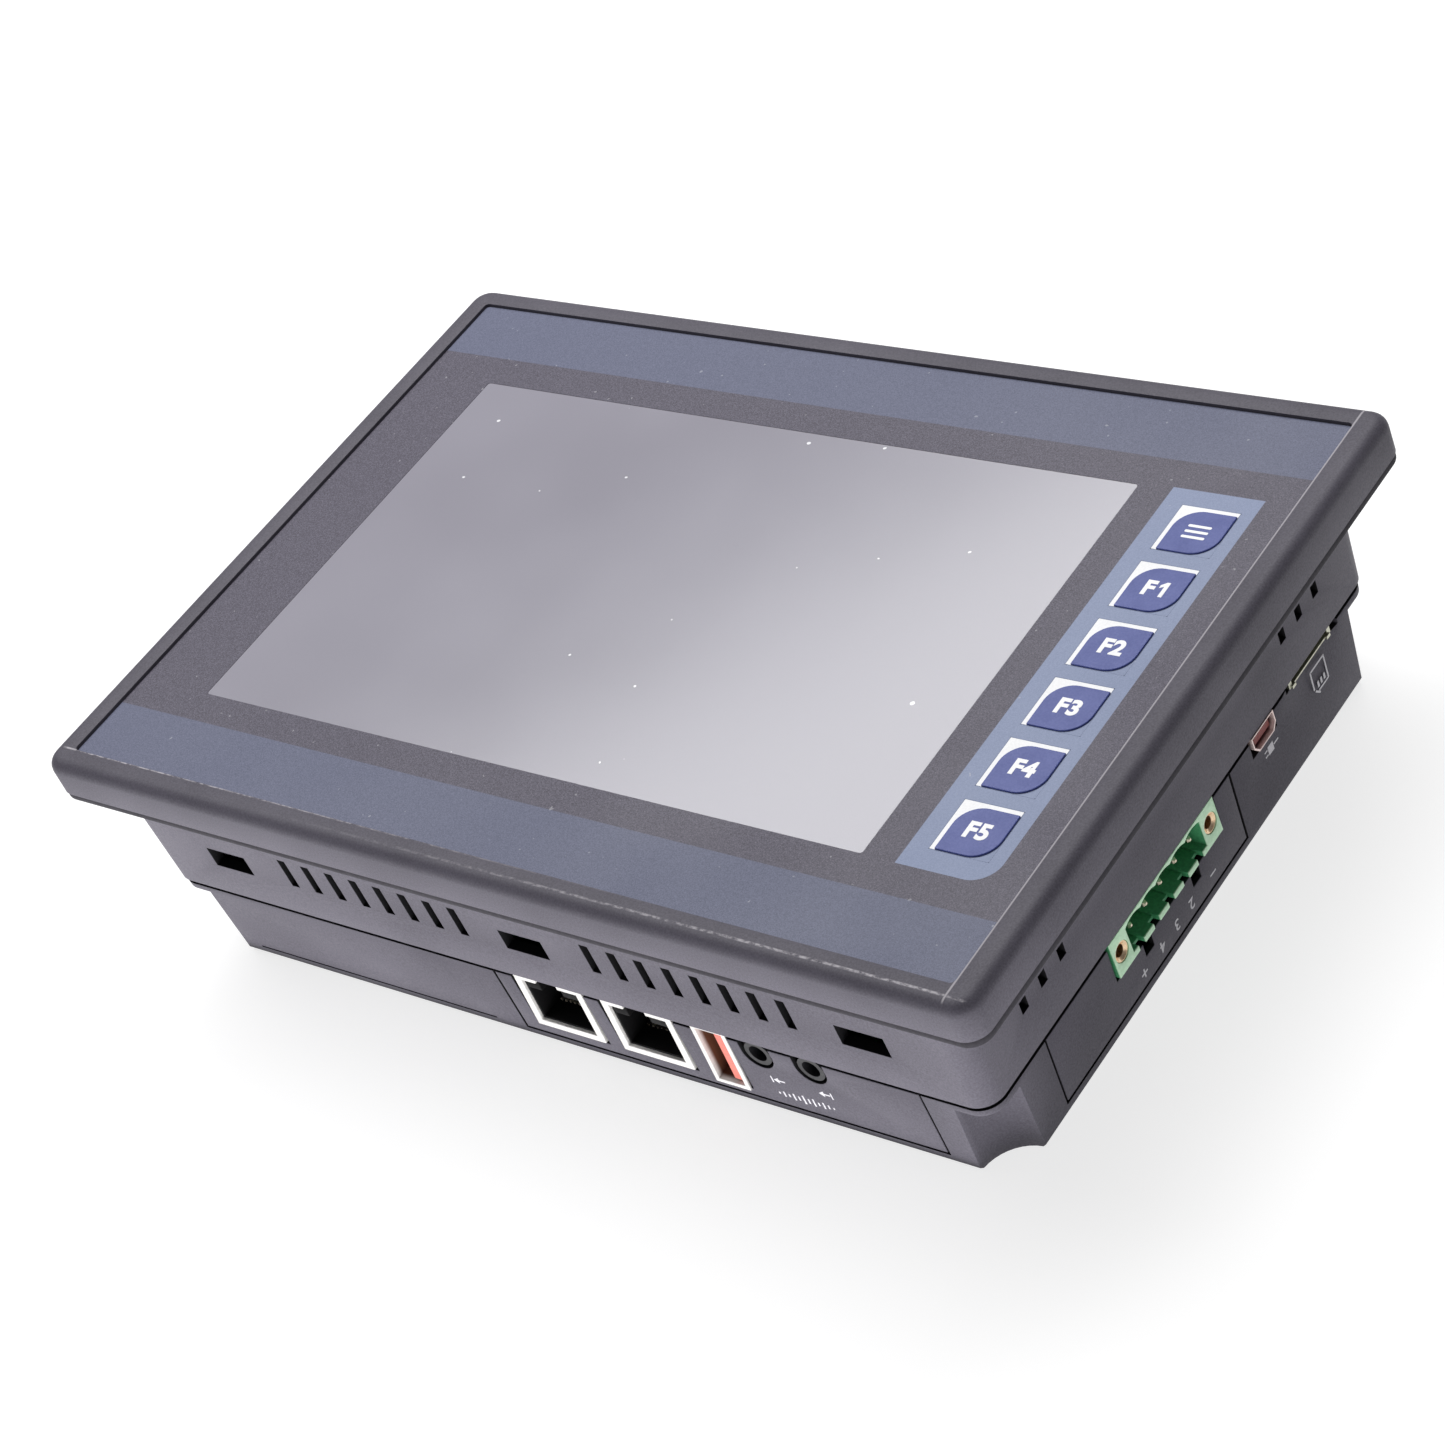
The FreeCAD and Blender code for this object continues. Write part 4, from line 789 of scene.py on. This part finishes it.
def place_on_wall(name, mesh, wall, along, z):
    """Lay a flat mesh on a port wall and make it a piece."""
    inward = REAR_DRAFT * (REAR_TOP - z)
    if wall == "low":
        origin = Vector((along, -(REAR_HALF[1] - inward), z))
        across, normal = Vector((1, 0, 0)), Vector((0, -1, -REAR_DRAFT)).normalized()
    else:
        origin = Vector((REAR_HALF[0] - inward, along, z))
        across, normal = Vector((0, 1, 0)), Vector((1, 0, -REAR_DRAFT)).normalized()
    up = normal.cross(across)
    for vertex in mesh.vertices:
        x, y, lift = vertex.co
        vertex.co = origin + across * x + up * y + normal * lift
    new_piece(name, mesh, PRINT_GREY, nodes["rear_housing"]["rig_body"])


def make_wall_prints():
    """Generic marks where the real panel has its port names."""
    wall_print("mark_audio_in", "low", 47.6 * MM, 9.3 * MM, arrow_shapes(True))
    wall_print("mark_audio_out", "low", 57.4 * MM, 9.3 * MM, arrow_shapes(False))
    wall_print("mark_audio_wave", "low", 52.2 * MM, 5.6 * MM, wave_shapes())
    wall_print("mark_device_plug", "right", 26.6 * MM, 11.9 * MM, plug_shapes(), 0.95)
    wall_print("mark_card", "right", 44.8 * MM, 12.3 * MM, card_shapes(), 1.1)
    wall_print("mark_minus", "right", 2.6 * MM, 5.0 * MM, [bar_shape(0, 0, 1.9, 0.35)])
    wall_print("mark_plus", "right", -21.3 * MM, 5.0 * MM,
               [bar_shape(0, 0, 1.9, 0.35), bar_shape(0, 0.56, 0.35, 0.78), bar_shape(0, -0.56, 0.35, 0.78)])
    pins_low, pins_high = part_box("terminal_pins")
    pin = 0.9 * MM
    pitch = (pins_high.y - pins_low.y - pin) / 4
    for number in (2, 3, 4):
        name = "mark_terminal_%d" % number
        mark = lettering(name, str(number), 2.3 * MM, PRINT_THICKNESS, WALL_PRINT_BOLD)
        for vertex in mark.vertices:
            vertex.co.x, vertex.co.y = -vertex.co.x, -vertex.co.y
        place_on_wall(name, mark, "right", pins_high.y - pin / 2 - pitch * (number - 1), 5.2 * MM)


make_wall_prints()


# ---------------------------------------------------------------- floor, lights, camera
def make_floor():
    """Pale floor that the panel lies on, lifted to white."""
    mesh = bpy.data.meshes.new("floor")
    half = 3.0  # metres
    corners = [(-half, -half, 0), (half, -half, 0), (half, half, 0), (-half, half, 0)]
    mesh.from_pydata(corners, [], [(0, 1, 2, 3)])
    n = Nodes("floor_paper")
    tone = n.ramp(n.noise(0.5, 2.0), [(0.3, (0.34, 0.34, 0.34)), (0.7, (0.38, 0.38, 0.38))])
    n.set(colour=tone, rough=0.9, spec=0.1, glow=0.76)
    mesh.materials.append(n.material)
    floor = bpy.data.objects.new("floor", mesh)
    floor.location.z = cad_box[0][2] - FLOOR_GAP
    bpy.context.scene.collection.objects.link(floor)


def softbox(name, place, turn, size, radiance, hidden=False):
    """Rectangular light; turn is its Euler angles in degrees (unturned it faces down), size in metres."""
    data = bpy.data.lights.new(name, "AREA")
    data.shape = "RECTANGLE"
    data.size, data.size_y = size
    data.energy = radiance * math.pi * size[0] * size[1]
    light = bpy.data.objects.new(name, data)
    light.location = place
    light.rotation_euler = Euler([math.radians(a) for a in turn], "XYZ")
    light.visible_camera = not hidden
    light.visible_glossy = not hidden
    bpy.context.scene.collection.objects.link(light)


def make_studio():
    """Soft studio light: one broad box overhead to the back left, low fill for the port walls."""
    world = bpy.data.worlds.new("studio")
    world.use_nodes = True
    background = world.node_tree.nodes["Background"]
    background.inputs["Color"].default_value = (0.97, 0.98, 1.0, 1.0)
    seen = world.node_tree.nodes.new("ShaderNodeLightPath")
    level = world.node_tree.nodes.new("ShaderNodeMapRange")
    level.inputs["To Min"].default_value = 0.15
    level.inputs["To Max"].default_value = 1.0
    world.node_tree.links.new(seen.outputs["Is Camera Ray"], level.inputs["Value"])
    world.node_tree.links.new(level.outputs["Result"], background.inputs["Strength"])
    bpy.context.scene.world = world
    softbox("overhead_box", (-0.405, 0.446, 0.85), (0, 0, -30.7), (0.9, 1.3), 5.0)
    softbox("front_fill", (0.0, -0.283, 0.001), (180, 0, 0), (0.5, 0.434), 2.9, hidden=True)


CAMERA_PLACE = (0.39966, -0.32756, 0.42886)
CAMERA_TURN = (49.098, 19.283, 35.102)  # degrees
CAMERA_LENS = 89.63
CAMERA_SENSOR = 36.0


def make_camera():
    """Camera above and to the right of the lower edge, rolled so that the panel leans in the frame."""
    data = bpy.data.cameras.new("camera")
    data.sensor_width = CAMERA_SENSOR
    data.lens = CAMERA_LENS
    camera = bpy.data.objects.new("camera", data)
    camera.location = CAMERA_PLACE
    camera.rotation_euler = Euler([math.radians(a) for a in CAMERA_TURN], "XYZ")
    bpy.context.scene.collection.objects.link(camera)
    bpy.context.scene.camera = camera


make_floor()
make_studio()
make_camera()
bpy.context.scene.view_settings.view_transform = "Standard"
